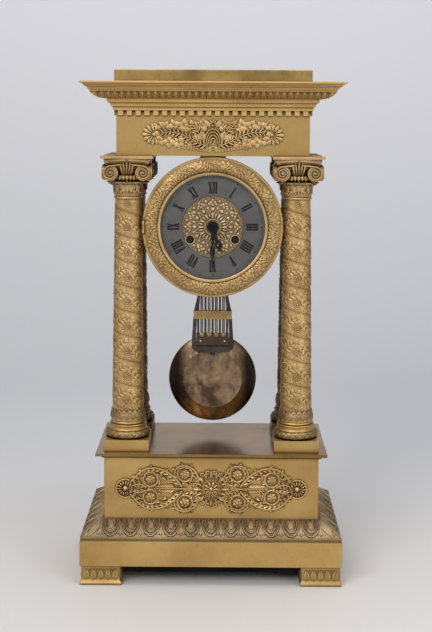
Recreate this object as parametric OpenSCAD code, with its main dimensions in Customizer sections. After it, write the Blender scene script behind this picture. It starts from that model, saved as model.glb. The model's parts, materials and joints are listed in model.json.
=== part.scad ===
// Portico clock: a gilt case on four columns, with a hung drum, movement and gridiron pendulum.
// Millimetres, +Z up, the dial faces -Y, the feet stand on Z = 0.

/* [Base] */
// Distance between column axes, left to right
col_span_x = 168; // [150:1:220]
// Distance between column axes, front to back
col_span_y = 64; // [56:1:110]
// Width of the square plinth under each column
col_plinth_w = 44; // [36:1:56]
// Height of the square plinth under each column
col_plinth_h = 11.5; // [6:0.5:20]
// Width of each foot
foot_w = 38; // [24:1:50]
// Height of the feet
foot_h = 18.6; // [10:0.2:40]
// Height of the plain plinth
plinth_h = 27.6; // [15:0.2:60]
// Wall of the plain plinth
plinth_wall = 4; // [2.5:0.5:8]
// Distance that the leaf moulding runs out past the pedestal
leaf_run = 22; // [12:1:36]
// Height of the leaf moulding
leaf_h = 13.4; // [8:0.2:24]
// Height of the pedestal case
pedestal_h = 60.8; // [40:0.2:100]
// Wall of the pedestal and frieze plates
panel_wall = 3; // [2:0.5:6]
// Distance that the pedestal top runs out past the pedestal
top_lip = 8; // [3:0.5:14]
// Height of the pedestal top
top_h = 6; // [5:0.5:12]
// Distance of the board's edge behind the plinth face
board_inset = 14; // [9:0.5:30]
// Depth of the board below the plinth
board_drop = 10; // [3:0.5:16]
// Thickness that the applied mounts stand proud
mount_t = 3; // [1.5:0.5:6]

/* [Columns] */
// Height from pedestal top to the underside of the frieze
column_h = 292.3; // [260:0.1:420]
// Radius of the base ring at its widest
base_ring_r = 21.8; // [18:0.1:26]
// Height of the turned base ring
base_ring_h = 18; // [12:0.5:30]
// Radius of the shaft at its foot
shaft_r_low = 15.4; // [10:0.1:18]
// Radius of the shaft at its neck
shaft_r_high = 13; // [8:0.1:16]
// Wall of the shaft tube
shaft_wall = 2.5; // [1.5:0.5:5]
// Height of the capital
capital_h = 40; // [30:0.5:60]
// Width of the capital's top slab
abacus_w = 51; // [44:0.5:64]
// Radius of the capital's scrolls
volute_r = 7.4; // [5:0.1:9]
// Radius of the tie rods
tie_rod_r = 2.5; // [1.5:0.1:4]

/* [Entablature] */
// Distance of the frieze face outside the column axes
frieze_proud = 11; // [8:0.5:20]
// Height of the frieze
frieze_h = 39.5; // [25:0.5:70]
// Height of the dentil course
dentil_h = 5; // [3:0.5:10]
// Distance that the dentils stand out past the frieze
dentil_reach = 2.6; // [1.5:0.1:5]
// Spacing of the dentils
dentil_pitch = 8.4; // [5:0.1:14]
// Height of the cornice
cornice_h = 28; // [18:0.5:50]
// Distance that the cornice runs out past the frieze
cornice_reach = 33; // [20:0.5:50]
// Height of the attic block
attic_h = 12; // [6:0.5:30]
// Distance of the attic face outside the frieze face
attic_proud = 2; // [0.5:0.5:6]

/* [Clock head] */
// Space between the bezel's edge and the necks of the columns
bezel_side_gap = 1.3; // [0.8:0.1:6]
// Radius of the bezel's aperture
aperture_r = 51.8; // [46:0.1:54]
// Space between bezel and frieze underside
bezel_gap = 0.8; // [0.5:0.1:10]
// Distance of the bezel's back face in front of the middle plane
bezel_y = 38; // [37:0.5:50]
// Outer radius of the drum
drum_r = 60; // [58:0.5:64]
// Wall of the drum
drum_wall = 2; // [1:0.5:4]
// Length of the drum
drum_l = 48; // [46:0.5:60]
// Inner radius of the chapter ring
ring_r_in = 31; // [28:0.5:40]
// Thickness of dial plate and chapter ring together
dial_t = 1.8; // [1.2:0.1:3]
// Radius of the winding holes
wind_hole_r = 3.9; // [3:0.1:5]
// Length of the minute hand from its centre
minute_len = 43; // [30:0.5:46]
// Length of the hour hand from its centre
hour_len = 26; // [18:0.5:34]

/* [Movement] */
// Radius of the movement plates
plate_r = 48; // [47:0.5:52]
// Thickness of each plate
plate_t = 2.5; // [1.5:0.1:4]
// Thickness of each wheel
wheel_t = 1.2; // [0.8:0.1:2]
// Radius of the wheel arbors
arbor_r = 1.2; // [0.9:0.1:1.5]
// Radius of the wheel pivots
pivot_r = 0.6; // [0.4:0.05:0.65]
// Radius of the winding arbors
wind_arbor_r = 2.6; // [2:0.1:3.4]
// Teeth of the escape wheel
escape_teeth = 48; // [40:1:50]
// Tip radius of the escape wheel
escape_r = 10; // [8:0.1:10.4]
// Radius of the bell
bell_r = 28; // [24:0.5:30]

/* [Pendulum] */
// Space between the bob and the pedestal top
bob_clear = 11.8; // [6:0.1:20]
// Radius of the bob
bob_r = 45.6; // [30:0.1:46]
// Thickness of the bob at its middle
bob_t = 14; // [8:0.5:18]
// Radius of the steel rods
steel_rod_r = 1.15; // [0.8:0.05:1.2]
// Radius of the brass rods
brass_rod_r = 1.6; // [1.55:0.05:1.8]
// Spacing between neighbouring rods
rod_pitch = 3.75; // [3.6:0.05:4]

/* [Fits] */
// Hairline between cast pieces laid side by side
hairline = 0.1; // [0.05:0.01:0.3]
// Radial clearance of a turning pivot in its hole
run_gap = 0.06; // [0.03:0.01:0.1]
// Radial clearance round the tie rods
rod_gap = 0.3; // [0.2:0.05:0.6]
// Space between hands, dial and glass
hand_gap = 1; // [0.8:0.1:1.4]

/* [Hidden] */
$fn = 96;
// heights of the courses
z_leaf = foot_h + plinth_h;
z_pedestal = z_leaf + leaf_h;
z_top = z_pedestal + pedestal_h;
z_deck = z_top + top_h;
z_soffit = z_deck + column_h;
z_dentil = z_soffit + frieze_h;
z_cornice = z_dentil + dentil_h;
z_attic = z_cornice + cornice_h;
// plan sizes
pedestal_w = col_span_x + col_plinth_w;
pedestal_d = col_span_y + col_plinth_w;
plinth_w = pedestal_w + 2 * leaf_run;
plinth_d = pedestal_d + 2 * leaf_run;
frieze_w = col_span_x + 2 * frieze_proud;
frieze_d = col_span_y + 2 * frieze_proud;
foot_inset = 1.5;
foot_x = plinth_w / 2 - foot_inset - foot_w / 2;
foot_y = plinth_d / 2 - foot_inset - foot_w / 2;
// column levels
z_ring = z_deck + col_plinth_h;
z_shaft = z_ring + base_ring_h;
z_cap = z_soffit - capital_h;
rod_bore = tie_rod_r + rod_gap;
soffit_t = 3;
// clock head
bezel_r = col_span_x / 2 - shaft_r_high - bezel_side_gap;
bezel_face = bezel_r - aperture_r;
dial_z = z_soffit - bezel_gap - bezel_r;
bezel_back = -bezel_y;
rim_t = 3;
bezel_h = 6.6;
lip_t = 1.4;
drum_front = bezel_back + 0.3;
drum_back = drum_front + drum_l;
plate_face = bezel_back + 1.4;
ring_t = 0.8;
ring_face = plate_face - ring_t;
dial_back = plate_face + dial_t - ring_t;
dial_r = drum_r - drum_wall - 4;
ring_inset = 1.2;
foot_at = dial_r - 14;
foot_dirs = [30, 150, 270];
foot_pin_r = 0.9;
glass_t = 1.2;
glass_back = bezel_back - bezel_h + lip_t + glass_t;
hand_t = 0.6;
hour_pipe_r = 3.4;
minute_pipe_r = 1.55;
seat_gap = 0.05;
hour_y = ring_face - hand_gap - hand_t;
minute_y = hour_y - hand_gap - hand_t;
// bezel hinge, on the left
hinge_x = -(bezel_r - 1.2);
hinge_y = bezel_back - rim_t - 0.2;
hinge_pin_r = 0.7;
knuckle_r = 1.6;
knuckle_h = 4;
// movement, measured from the inner face of the front plate
plate_gap = 33;
front_face = dial_back + 5.6;
inner_face = front_face + plate_t;
back_inner = inner_face + plate_gap;
back_face = back_inner + plate_t;
// wheel counts and sizes
m_barrel = 0.7;
m_centre = 0.5;
m_third = 0.45;
m_escape = 0.42;
m_motion = 0.6;
m_hour = 0.576;
m_count = 0.4;
m_pin = 0.35;
barrel_teeth = 60;
inter_leaves = 10;
inter_teeth = 60;
centre_leaves = 10;
centre_teeth = 72;
third_leaves = 8;
third_teeth = 72;
escape_leaves = 8;
cannon_leaves = 12;
minute_teeth = 36;
minute_leaves = 10;
hour_teeth = 40;
count_leaves = 10;
count_teeth = 56;
pin_leaves = 8;
pin_teeth = 48;
fly_leaves = 8;
// arbor places, X and Z from the dial centre
wind_x = 22.4;
wind_z = -12.6;
at_centre = [0, 0];
at_going = [wind_x, wind_z];
at_strike = [-wind_x, wind_z];
at_inter = corner(at_centre, at_going, reach(m_centre, centre_leaves, inter_teeth),
    reach(m_barrel, barrel_teeth, inter_leaves));
at_escape = [0, 26.5];
at_third = corner(at_centre, at_escape, reach(m_third, centre_teeth, third_leaves),
    reach(m_escape, third_teeth, escape_leaves));
at_anchor = [0, 40];
at_minute = [0, reach(m_motion, cannon_leaves, minute_teeth)];
count_dir = -48;
pin_dir = -12.2;
fly_dir = -23.4;
at_count = at_strike + spoke(reach(m_barrel, barrel_teeth, count_leaves), count_dir);
at_pin = at_count + spoke(reach(m_count, count_teeth, pin_leaves), pin_dir);
at_fly = at_pin + spoke(reach(m_pin, pin_teeth, fly_leaves), fly_dir);
at_hammer = [-15, -41.5];
pillar_at = [[-32, 26], [32, 26], [-24, -37.5], [24, -37.5]];
pillar_r = 2.6;
pillar_pin_r = 1.4;
nut_t = 1.4;
// wheel phases, so that teeth fall in gaps
turn_inter = phase(at_going, at_inter, barrel_teeth, inter_leaves, 0);
turn_centre = phase(at_inter, at_centre, inter_teeth, centre_leaves, turn_inter);
turn_third = phase(at_centre, at_third, centre_teeth, third_leaves, turn_centre);
turn_escape = phase(at_third, at_escape, third_teeth, escape_leaves, turn_third);
turn_minute = phase(at_centre, at_minute, cannon_leaves, minute_teeth, 0);
turn_hour = phase(at_minute, at_centre, minute_leaves, hour_teeth, turn_minute);
turn_count = phase(at_strike, at_count, barrel_teeth, count_leaves, 0);
turn_pin = phase(at_count, at_pin, count_teeth, pin_leaves, turn_count);
turn_fly = phase(at_pin, at_fly, pin_teeth, fly_leaves, turn_pin);
// depth layers behind the front plate
lay_centre = 1.5;
lay_inter = 5;
lay_third = 9;
lay_barrel = 13;
barrel_l = 14;
lay_teeth = lay_barrel + barrel_l;
lay_escape = 23.5;
// rear of the movement
crutch_y = back_face + 2;
cock_y = back_face + 5;
cock_t = 2;
susp_y = back_face + 10;
eye_t = 3;
susp_pin_r = 1.2;
z_susp = dial_z + at_anchor[1];
bell_y = back_face + 22;
bell_d = 17;
bell_t = 1.6;
post_at = [9.5, 10.5];
post_r = 1.8;
// pendulum
z_bob = z_deck + bob_clear + bob_r;
z_chop = z_susp - 16;
bar_h = 8.6;
bar_w = 39.8;
z_bar = z_bob + 63.6;
z_low_bar = z_bob + 36;
low_bar_h = 12.2;
low_bar_w = 33.6;
z_tray = z_bob + 28.3;
tray_h = 6.3;
frame_t = 3;
z_over = z_bar + bar_h;
z_arch = z_over + 22;
arch_rise = 15;
arch_w = 3 * rod_pitch + brass_rod_r + 0.3;
// level, half width and bar width up the sides of the steel frame
frame_side = [[z_tray + tray_h - 1, 22, 4.4], [z_bob + 41, 21.6, 4.2], [z_bar, 20.2, 3.9],
    [z_over, 19.4, 17.6 - arch_w], [z_over + 6.5, 17.9, 17.4 - arch_w], [z_over + 13, 16.4, 16.4 - arch_w],
    [z_arch, arch_w + 2.2, 2.2]];
strip_y = 2.6;
bob_y = susp_y + strip_y + bob_t / 2 + 0.4;

// distance between two arbors whose wheel and pinion mesh
function reach(m, n1, n2) = m * (n1 + n2) / 2;
// a step of given length in a given direction
function spoke(r, a) = [r * cos(a), r * sin(a)];
// the point at distance p from a and q from b, on the left of the way from a to b
function corner(a, b, p, q) =
    let (d = norm(b - a), u = (b - a) / d, s = (p * p - q * q + d * d) / (2 * d), h = sqrt(p * p - s * s))
    a + u * s + [-u[1], u[0]] * h;
// turn of a second wheel that meshes with a first wheel turned by t1
function phase(a, b, n1, n2, t1) =
    let (d = atan2(b[1] - a[1], b[0] - a[0])) d + 180 + 180 / n2 - (t1 - d) * n1 / n2;
// points along an arc
function arc(x, y, r, a0, a1, n) = [for (i = [0:n]) [x + r * cos(a0 + (a1 - a0) * i / n),
    y + r * sin(a0 + (a1 - a0) * i / n)]];
// points of a band that follows a spiral from radius r0 to r1
function scroll(x, y, r0, r1, a0, a1, w, n) = concat(
    [for (i = [0:n]) let (f = i / n) [x, y] + spoke(r0 + (r1 - r0) * f + w / 2, a0 + (a1 - a0) * f)],
    [for (i = [0:n]) let (f = 1 - i / n) [x, y] + spoke(r0 + (r1 - r0) * f - w / 2, a0 + (a1 - a0) * f)]);
// points of a straight strap between two places
function strap(a, b, w) =
    let (u = (b - a) / norm(b - a), v = [-u[1], u[0]] * w / 2) [a + v, b + v, b - v, a - v];
// points of a leaf of length l and width w along +X, with a swelling a share s of the way
function leaf(l, w, s) = concat([for (i = [0:8]) let (f = i / 8) [l * f, w / 2 * sin(180 * pow(f, s))]],
    [for (i = [1:7]) let (f = 1 - i / 8) [l * f, -w / 2 * sin(180 * pow(f, s))]]);

// Shared shapes

// a flat shape in X and Z, spread along Y
module slab(y0, y1) {
    translate([0, y1, 0])
        rotate([90, 0, 0])
            linear_extrude(height = y1 - y0)
                children();
}

// a round bar along Y at a place measured from the dial centre
module bar(p, r, y0, y1) {
    translate([p[0], y1, dial_z + p[1]])
        rotate([90, 0, 0])
            cylinder(r = r, h = y1 - y0);
}

// a box from its two opposite corners
module box(a, b) {
    translate(a)
        cube(b - a);
}

// a turned shape about the Y axis through the dial centre, its outline in radius and distance to the front
module turned(y) {
    translate([0, y, dial_z])
        rotate([90, 0, 0])
            rotate_extrude()
                children();
}

// one mitred length of a moulding round a rectangle, its section as reach and height
module mitred_length(w, d, section, deep) {
    far = max([for (p = section) p[0]]) + 1;
    intersection() {
        translate([-w, 0, 0])
            rotate([90, 0, 90])
                linear_extrude(height = 2 * w)
                    polygon([for (p = section) [-d / 2 - p[0], p[1]]]);
        translate([0, -hairline, -1])
            linear_extrude(height = z_attic + attic_h + 2)
                polygon([[-w / 2 - far, -d / 2 - far], [w / 2 + far, -d / 2 - far],
                    [w / 2 - deep, -d / 2 + deep], [-w / 2 + deep, -d / 2 + deep]]);
    }
}

// four mitred lengths
module mitred_frame(w, d, section, deep) {
    for (k = [0:3])
        rotate([0, 0, 90 * k])
            mitred_length(k % 2 == 0 ? w : d, k % 2 == 0 ? d : w, section, deep);
}

// a solid block with the same moulded edge on all four sides
module moulded_block(w, d, edge) {
    intersection() {
        slab(-d, d)
            polygon(concat([for (p = edge) [w / 2 + p[0], p[1]]],
                [for (i = [len(edge) - 1:-1:0]) [-w / 2 - edge[i][0], edge[i][1]]]));
        rotate([0, 0, 90])
            slab(-w, w)
                polygon(concat([for (p = edge) [d / 2 + p[0], p[1]]],
                    [for (i = [len(edge) - 1:-1:0]) [-d / 2 - edge[i][0], edge[i][1]]]));
    }
}

// places its children on a column axis
module on_column(sx, sy) {
    translate([sx * col_span_x / 2, sy * col_span_y / 2, 0])
        children();
}

// Base

module bracket_feet() {
    color("goldenrod")
        for (sx = [-1, 1], sy = [-1, 1])
            translate([sx * foot_x, sy * foot_y, 0])
                moulded_block(foot_w, foot_w, [[1.4, 0], [1.4, 2], [0.4, 3.6], [-0.4, 5], [-0.4, foot_h - 3],
                    [0, foot_h - 2.4], [0, foot_h]]);
}

module base_board() {
    bw = plinth_w / 2 - board_inset;
    bd = plinth_d / 2 - board_inset;
    cw = foot_x - foot_w / 2 - 2;
    cd = foot_y - foot_w / 2 - 2;
    color("saddlebrown") {
        box([-bw, -cd, foot_h - board_drop], [bw, cd, foot_h]);
        box([-cw, -bd, foot_h - board_drop], [cw, bd, foot_h]);
        box([-plinth_w / 2 + plinth_wall + 0.3, -plinth_d / 2 + plinth_wall + 0.3, foot_h],
            [plinth_w / 2 - plinth_wall - 0.3, plinth_d / 2 - plinth_wall - 0.3, foot_h + 4]);
    }
}

module base_plinth() {
    color("goldenrod")
        mitred_frame(plinth_w, plinth_d, [[-plinth_wall, foot_h], [0, foot_h], [0, z_leaf - 3],
            [-0.6, z_leaf - 2.6], [-0.6, z_leaf], [-plinth_wall, z_leaf]], plinth_wall + 1);
}

module leaf_moulding() {
    n = 8;
    swell = 0.1;
    edge = [for (i = [0:n]) let (f = i / n) [1 + (leaf_run - 2.4) * (1 - f), z_leaf + 1.8
        + (leaf_h - 2.8) * (f + swell * sin(180 * f))]];
    color("darkgoldenrod")
        mitred_frame(pedestal_w, pedestal_d, concat([[-panel_wall, z_leaf], [leaf_run - 0.6, z_leaf],
            [leaf_run - 0.6, z_leaf + 1.8]], edge, [[1, z_pedestal],
            [-panel_wall, z_pedestal]]), panel_wall + 1);
}

module pedestal_case() {
    color("goldenrod")
        mitred_frame(pedestal_w, pedestal_d, [[-panel_wall, z_pedestal], [0, z_pedestal], [0, z_top],
            [-panel_wall, z_top]], panel_wall + 1);
}

// one cast element of a mount
module raised() {
    slab(-mount_t, 0)
        children();
}

// one quarter of the pedestal mount, drawn to the right and above its middle
module pedestal_mount_quarter() {
    near = [25, 14];
    far = [59.5, 8.3];
    raised()
        polygon(strap([6, 5], near, 2.4));
    raised()
        polygon(strap(near, [43, 0.4], 2.4));
    raised()
        polygon(strap([45, 0.4], far, 2.4));
    raised()
        polygon(strap(far, [79, 0.4], 2.4));
    raised()
        translate(near)
            circle(r = 7.4, $fn = 12);
    raised()
        translate(far)
            circle(r = 6.6, $fn = 12);
    for (a = [37, 70])
        raised()
            rotate([0, 0, a])
                translate([6, 0])
                    polygon(leaf(15, 5, 1));
    for (a = [32, 64])
        raised()
            translate([81, 0.3])
                rotate([0, 0, a])
                    polygon(leaf(15 - a / 15, 4.4, 0.8));
    for (i = [0:2])
        raised()
            translate([35 + 4.5 * i, 0.2])
                rotate([0, 0, 38])
                    polygon(leaf(7.5, 3, 1));
}

module pedestal_mount() {
    half = 82;
    tip = 14;
    color("gold")
        translate([0, -pedestal_d / 2, (z_pedestal + z_top) / 2]) {
            raised()
                circle(r = 9.5, $fn = 12);
            raised()
                polygon(concat([[-half, -1.1], [half, -1.1]], arc(half + tip / 2, 0, tip / 2, -40, 40, 6),
                    [[half, 1.1], [-half, 1.1]], arc(-half - tip / 2, 0, tip / 2, 140, 220, 6)));
            for (mx = [0, 1], mz = [0, 1])
                mirror([mx, 0, 0])
                    mirror([0, 0, mz])
                        pedestal_mount_quarter();
        }
}

module pedestal_top() {
    color("darkgoldenrod")
        difference() {
            moulded_block(pedestal_w, pedestal_d, [[0, z_top], [2, z_top + 0.4], [2.6, z_top + 1.4],
                [3.8, z_top + 2.4], [5.6, z_top + 3], [top_lip, z_top + 3.2], [top_lip, z_deck]]);
            for (sx = [-1, 1], sy = [-1, 1])
                on_column(sx, sy)
                    translate([0, 0, z_top - 1])
                        cylinder(r = rod_bore, h = top_h + 2);
        }
}

// Columns

module column_base(sx, sy) {
    h = base_ring_h;
    r = base_ring_r;
    color("goldenrod")
        on_column(sx, sy) {
            difference() {
                box([-col_plinth_w / 2, -col_plinth_w / 2, z_deck],
                    [col_plinth_w / 2, col_plinth_w / 2, z_ring]);
                translate([0, 0, z_deck - 1])
                    cylinder(r = rod_bore, h = col_plinth_h + 2);
            }
            translate([0, 0, z_ring])
                rotate_extrude()
                    polygon(concat([[rod_bore, hairline], [r - 2, hairline]],
                        arc(r - 3.8, 0.22 * h, 3.8, -80, 80, 8),
                        [[r - 2.2, 0.44 * h], [r - 2.2, 0.48 * h]], arc(r - 0.4, 0.58 * h, 3.2, 220, 140, 6),
                        [[r - 3.6, 0.7 * h], [r - 3.6, 0.76 * h]], arc(r - 6, 0.84 * h, 1.5, -70, 70, 5),
                        [[r - 5, 0.94 * h], [r - 5, h], [rod_bore, h]]));
        }
}

module column_shaft(sx, sy) {
    l = z_cap - z_shaft;
    low = shaft_r_low;
    high = shaft_r_high;
    color("goldenrod")
        on_column(sx, sy)
            translate([0, 0, z_shaft])
                rotate_extrude()
                    polygon(concat([[low - shaft_wall, 0], [low + 1.6, 0], [low + 2, 3], [low + 1.4, 6],
                        [low, 7.4], [high, l - 3]], arc(high, l - 1.5, 1.4, -80, 80, 5),
                        [[high, l], [high - shaft_wall, l]]));
}

module column_capital(sx, sy) {
    h = capital_h;
    z_vol = h - 16.5;
    bell_h = h - 6;
    slab_t = 2.6;
    volute_x = abacus_w / 2 - 9.6;
    volute_y = abacus_w / 2 - 2.1;
    volute_back = 11;
    color("goldenrod")
        on_column(sx, sy)
            translate([0, 0, z_cap])
                difference() {
                    union() {
                        rotate_extrude()
                            polygon([[0, 0], [13.4, 0], [14, 1.6], [14, 5.4], [13.4, 6.4], [14.2, 8],
                                [14.6, 10.6], [15.4, 11.8], [18.8, 13], [19.4, 14.2], [18.2, 14.8],
                                [15.4, 15.2], [17.6, 16.4], [19.4, 18.4], [19.6, 20], [18.4, 21],
                                [15.6, 21.6], [16.5, 26], [18.5, bell_h], [0, bell_h]]);
                        // scrolls on the four faces, mitred together at the corners
                        for (k = [0:3], t = [-1, 1])
                            rotate([0, 0, 90 * k])
                                intersection() {
                                    translate([t * volute_x, -volute_back, z_vol])
                                        rotate([90, 0, 0])
                                            cylinder(r = volute_r, h = volute_y - volute_back);
                                    linear_extrude(height = h)
                                        polygon([[0, 0], [h, -h], [-h, -h]]);
                                }
                        moulded_block(37, 37, [[-2, z_vol + 3], [0, z_vol + 4], [2.2, z_vol + 8],
                            [4, h - slab_t - 2.4], [4, h - slab_t]]);
                        translate([0, 0, h - slab_t])
                            linear_extrude(height = slab_t)
                                difference() {
                                    square(abacus_w, center = true);
                                    for (k = [0:3])
                                        rotate([0, 0, 90 * k])
                                            translate([0, abacus_w / 2 + 72.6])
                                                circle(r = 75);
                                }
                    }
                    translate([0, 0, -1])
                        cylinder(r = rod_bore, h = h + 2);
                }
}

module column_base_front_left() { column_base(-1, -1); }
module column_base_front_right() { column_base(1, -1); }
module column_base_rear_left() { column_base(-1, 1); }
module column_base_rear_right() { column_base(1, 1); }
module column_shaft_front_left() { column_shaft(-1, -1); }
module column_shaft_front_right() { column_shaft(1, -1); }
module column_shaft_rear_left() { column_shaft(-1, 1); }
module column_shaft_rear_right() { column_shaft(1, 1); }
module column_capital_front_left() { column_capital(-1, -1); }
module column_capital_front_right() { column_capital(1, -1); }
module column_capital_rear_left() { column_capital(-1, 1); }
module column_capital_rear_right() { column_capital(1, 1); }

module tie_rods() {
    rod_nut_t = 4;
    color("slategray")
        for (sx = [-1, 1], sy = [-1, 1])
            on_column(sx, sy) {
                translate([0, 0, z_top - rod_nut_t - 2])
                    cylinder(r = tie_rod_r, h = z_soffit + soffit_t + rod_nut_t + 2 - z_top + rod_nut_t + 2);
                translate([0, 0, z_top - rod_nut_t])
                    cylinder(r = 2 * tie_rod_r, h = rod_nut_t, $fn = 6);
                translate([0, 0, z_soffit + soffit_t])
                    cylinder(r = 2 * tie_rod_r, h = rod_nut_t, $fn = 6);
            }
}

// Entablature

module frieze_case() {
    in_w = frieze_w / 2 - panel_wall - hairline;
    in_d = frieze_d / 2 - panel_wall - hairline;
    color("goldenrod") {
        mitred_frame(frieze_w, frieze_d, [[-panel_wall, z_soffit], [0, z_soffit], [0, z_dentil],
            [-panel_wall, z_dentil]], panel_wall + 1);
        difference() {
            box([-in_w, -in_d, z_soffit], [in_w, in_d, z_soffit + soffit_t]);
            for (sx = [-1, 1], sy = [-1, 1])
                on_column(sx, sy)
                    translate([0, 0, z_soffit - 1])
                        cylinder(r = rod_bore, h = soffit_t + 2);
        }
    }
}

// the right half of the frieze mount
module frieze_mount_half() {
    near = [20, 0];
    far = [41, -1];
    for (a = [58, 28])
        raised()
            translate([0.4, -7])
                rotate([0, 0, a])
                    polygon(leaf(15 + a / 9, 7, 0.8));
    raised()
        translate(near)
            circle(r = 8.5, $fn = 12);
    raised()
        translate(far)
            circle(r = 7.5, $fn = 12);
    raised()
        translate([25, 3])
            rotate([0, 0, 25])
                polygon(leaf(16, 6, 1));
    raised()
        translate([45, 1])
            rotate([0, 0, 25])
                polygon(leaf(14, 5, 1));
    raised()
        polygon(scroll(30, 9, 20, 20, 232, 308, 2, 8));
    for (a = [-50, -20, 10, 40, 70])
        raised()
            translate([57.5, -5])
                rotate([0, 0, a])
                    polygon(leaf(13.6, 5, 0.8));
}

module frieze_mount() {
    color("gold")
        translate([0, -frieze_d / 2, (z_soffit + z_dentil) / 2]) {
            raised()
                translate([0, -8])
                    rotate([0, 0, 90])
                        polygon(leaf(24.5, 7.4, 0.8));
            raised()
                translate([-59, -6.5])
                    square([118, 3]);
            for (mx = [0, 1])
                mirror([mx, 0, 0])
                    frieze_mount_half();
        }
}

// plan outline of a row of dentils along X, standing out towards -Y
function comb(w, d, n) = concat([[w / 2, -d + panel_wall], [-w / 2, -d + panel_wall]],
    [for (i = [0:n - 1]) let (p = w / n, x = -w / 2 + p * i, g = 0.205 * p) each [[x, -d], [x + g, -d],
    [x + g, -d - dentil_reach], [x + p - g, -d - dentil_reach], [x + p - g, -d]]], [[w / 2, -d]]);

module dentil_course() {
    side = frieze_d - 2 * panel_wall - 2 * hairline;
    color("goldenrod")
        translate([0, 0, z_dentil])
            linear_extrude(height = dentil_h)
                for (k = [0, 180]) {
                    rotate([0, 0, k])
                        polygon(comb(frieze_w, frieze_d / 2, floor(frieze_w / dentil_pitch)));
                    rotate([0, 0, k + 90])
                        polygon(comb(side, frieze_w / 2, floor(side / dentil_pitch)));
                }
}

module cornice() {
    u = cornice_h / 28;
    o = cornice_reach / 34;
    z = z_cornice;
    wall = panel_wall + 3;
    color("goldenrod")
        mitred_frame(frieze_w, frieze_d, concat([[-wall, z], [3.2 * o, z], [3.2 * o, z + 3.2 * u],
            [5 * o, z + 3.8 * u], [5.9 * o, z + 6.6 * u], [8.6 * o, z + 8 * u], [9 * o, z + 12 * u],
            [12 * o, z + 12.6 * u]], [for (i = [0:5]) [(16 + 7 * sin(15 * i)) * o,
            z + (13.4 + 4.6 * (1 - cos(18 * i))) * u]],
            [[25 * o, z + 18.6 * u], [25 * o, z + 19.8 * u], [26 * o, z + 20.2 * u], [26 * o, z + 20.8 * u],
            [27.2 * o, z + 22.2 * u], [29 * o, z + 22.8 * u], [29.4 * o, z + 23 * u], [29.4 * o, z + 24 * u],
            [30.4 * o, z + 24.2 * u], [31.2 * o, z + 25.2 * u], [32.8 * o, z + 25.8 * u],
            [cornice_reach, z + 26.2 * u], [cornice_reach, z_attic], [-wall, z_attic]]), wall + 1);
}

module attic_block() {
    w = frieze_w + 2 * attic_proud;
    d = frieze_d + 2 * attic_proud;
    wall = attic_proud + panel_wall;
    top = z_attic + attic_h;
    color("goldenrod") {
        mitred_frame(w, d, [[-wall, z_attic], [0, z_attic], [0, top - 0.6], [-0.6, top],
            [-wall, top]], wall + 1);
        box([-w / 2 + wall + hairline, -d / 2 + wall + hairline, top - panel_wall],
            [w / 2 - wall - hairline, d / 2 - wall - hairline, top]);
    }
}

// Clock head

module clock_drum() {
    lug_h = knuckle_h - 0.4;
    ledge = 2;
    color("peru")
        difference() {
            union() {
                turned(0)
                    polygon([[drum_r - drum_wall, -drum_front], [drum_r, -drum_front], [drum_r, -drum_back],
                        [drum_r - drum_wall - 3, -drum_back], [drum_r - drum_wall - 3, -drum_back + ledge],
                        [drum_r - drum_wall, -drum_back + ledge], [drum_r - drum_wall, -dial_back - ledge],
                        [dial_r - 3, -dial_back - ledge], [dial_r - 3, -dial_back],
                        [drum_r - drum_wall, -dial_back]]);
                translate([hinge_x, hinge_y, dial_z - lug_h / 2])
                    cylinder(r = knuckle_r, h = lug_h);
                box([hinge_x - knuckle_r, hinge_y, dial_z - lug_h / 2],
                    [hinge_x + 1, drum_front + 4, dial_z + lug_h / 2]);
                box([hinge_x - knuckle_r, drum_front + 1.5, dial_z - lug_h / 2],
                    [-drum_r + 0.4, drum_front + 4, dial_z + lug_h / 2]);
            }
            translate([hinge_x, hinge_y, dial_z - lug_h])
                cylinder(r = hinge_pin_r + run_gap, h = 2 * lug_h);
        }
}

module drum_saddle() {
    w = 13;
    color("peru")
        difference() {
            box([-w, drum_front + 8, dial_z + 0.8 * drum_r], [w, drum_back - 8, z_soffit]);
            bar(at_centre, drum_r + hairline, drum_front, drum_back);
        }
}

module bezel() {
    r = bezel_r;
    w = bezel_face;
    notch = knuckle_h / 2 + 0.2;
    color("gold")
        difference() {
            union() {
                difference() {
                    turned(bezel_back)
                        polygon([[aperture_r + 2.2, 0], [r, 0], [r, rim_t - 0.6], [r - 0.03 * w, rim_t],
                            [r - 0.13 * w, rim_t], [r - 0.16 * w, rim_t + 0.6], [r - 0.2 * w, rim_t + 1],
                            [r - 0.28 * w, bezel_h - 1], [r - 0.45 * w, bezel_h - 0.2],
                            [r - 0.61 * w, bezel_h], [r - 0.73 * w, bezel_h - 0.5],
                            [r - 0.78 * w, bezel_h - 1.4], [r - 0.83 * w, bezel_h - 1.6],
                            [r - 0.86 * w, bezel_h - 0.6], [r - 0.94 * w, bezel_h - 0.4],
                            [aperture_r, bezel_h - 0.9], [aperture_r, bezel_h - lip_t + 0.1],
                            [aperture_r + 2.2, bezel_h - lip_t + 0.1]]);
                    box([-r - 1, bezel_back - rim_t - 1, dial_z - notch],
                        [-r + 3, bezel_back + 1, dial_z + notch]);
                }
                for (s = [-1, 1])
                    translate([hinge_x, hinge_y, dial_z + s * (notch + knuckle_h / 2) - knuckle_h / 2])
                        cylinder(r = knuckle_r, h = knuckle_h);
            }
            translate([hinge_x, hinge_y, dial_z - 3 * knuckle_h])
                cylinder(r = hinge_pin_r + run_gap, h = 6 * knuckle_h);
        }
}

module bezel_glass() {
    color("lightblue", 0.4)
        bar(at_centre, aperture_r + 2, glass_back - glass_t, glass_back);
}

module bezel_hinge_pin() {
    color("gold")
        translate([hinge_x, hinge_y, dial_z - 1.5 * knuckle_h - 0.6])
            cylinder(r = hinge_pin_r, h = 3 * knuckle_h + 1.2);
}

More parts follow.
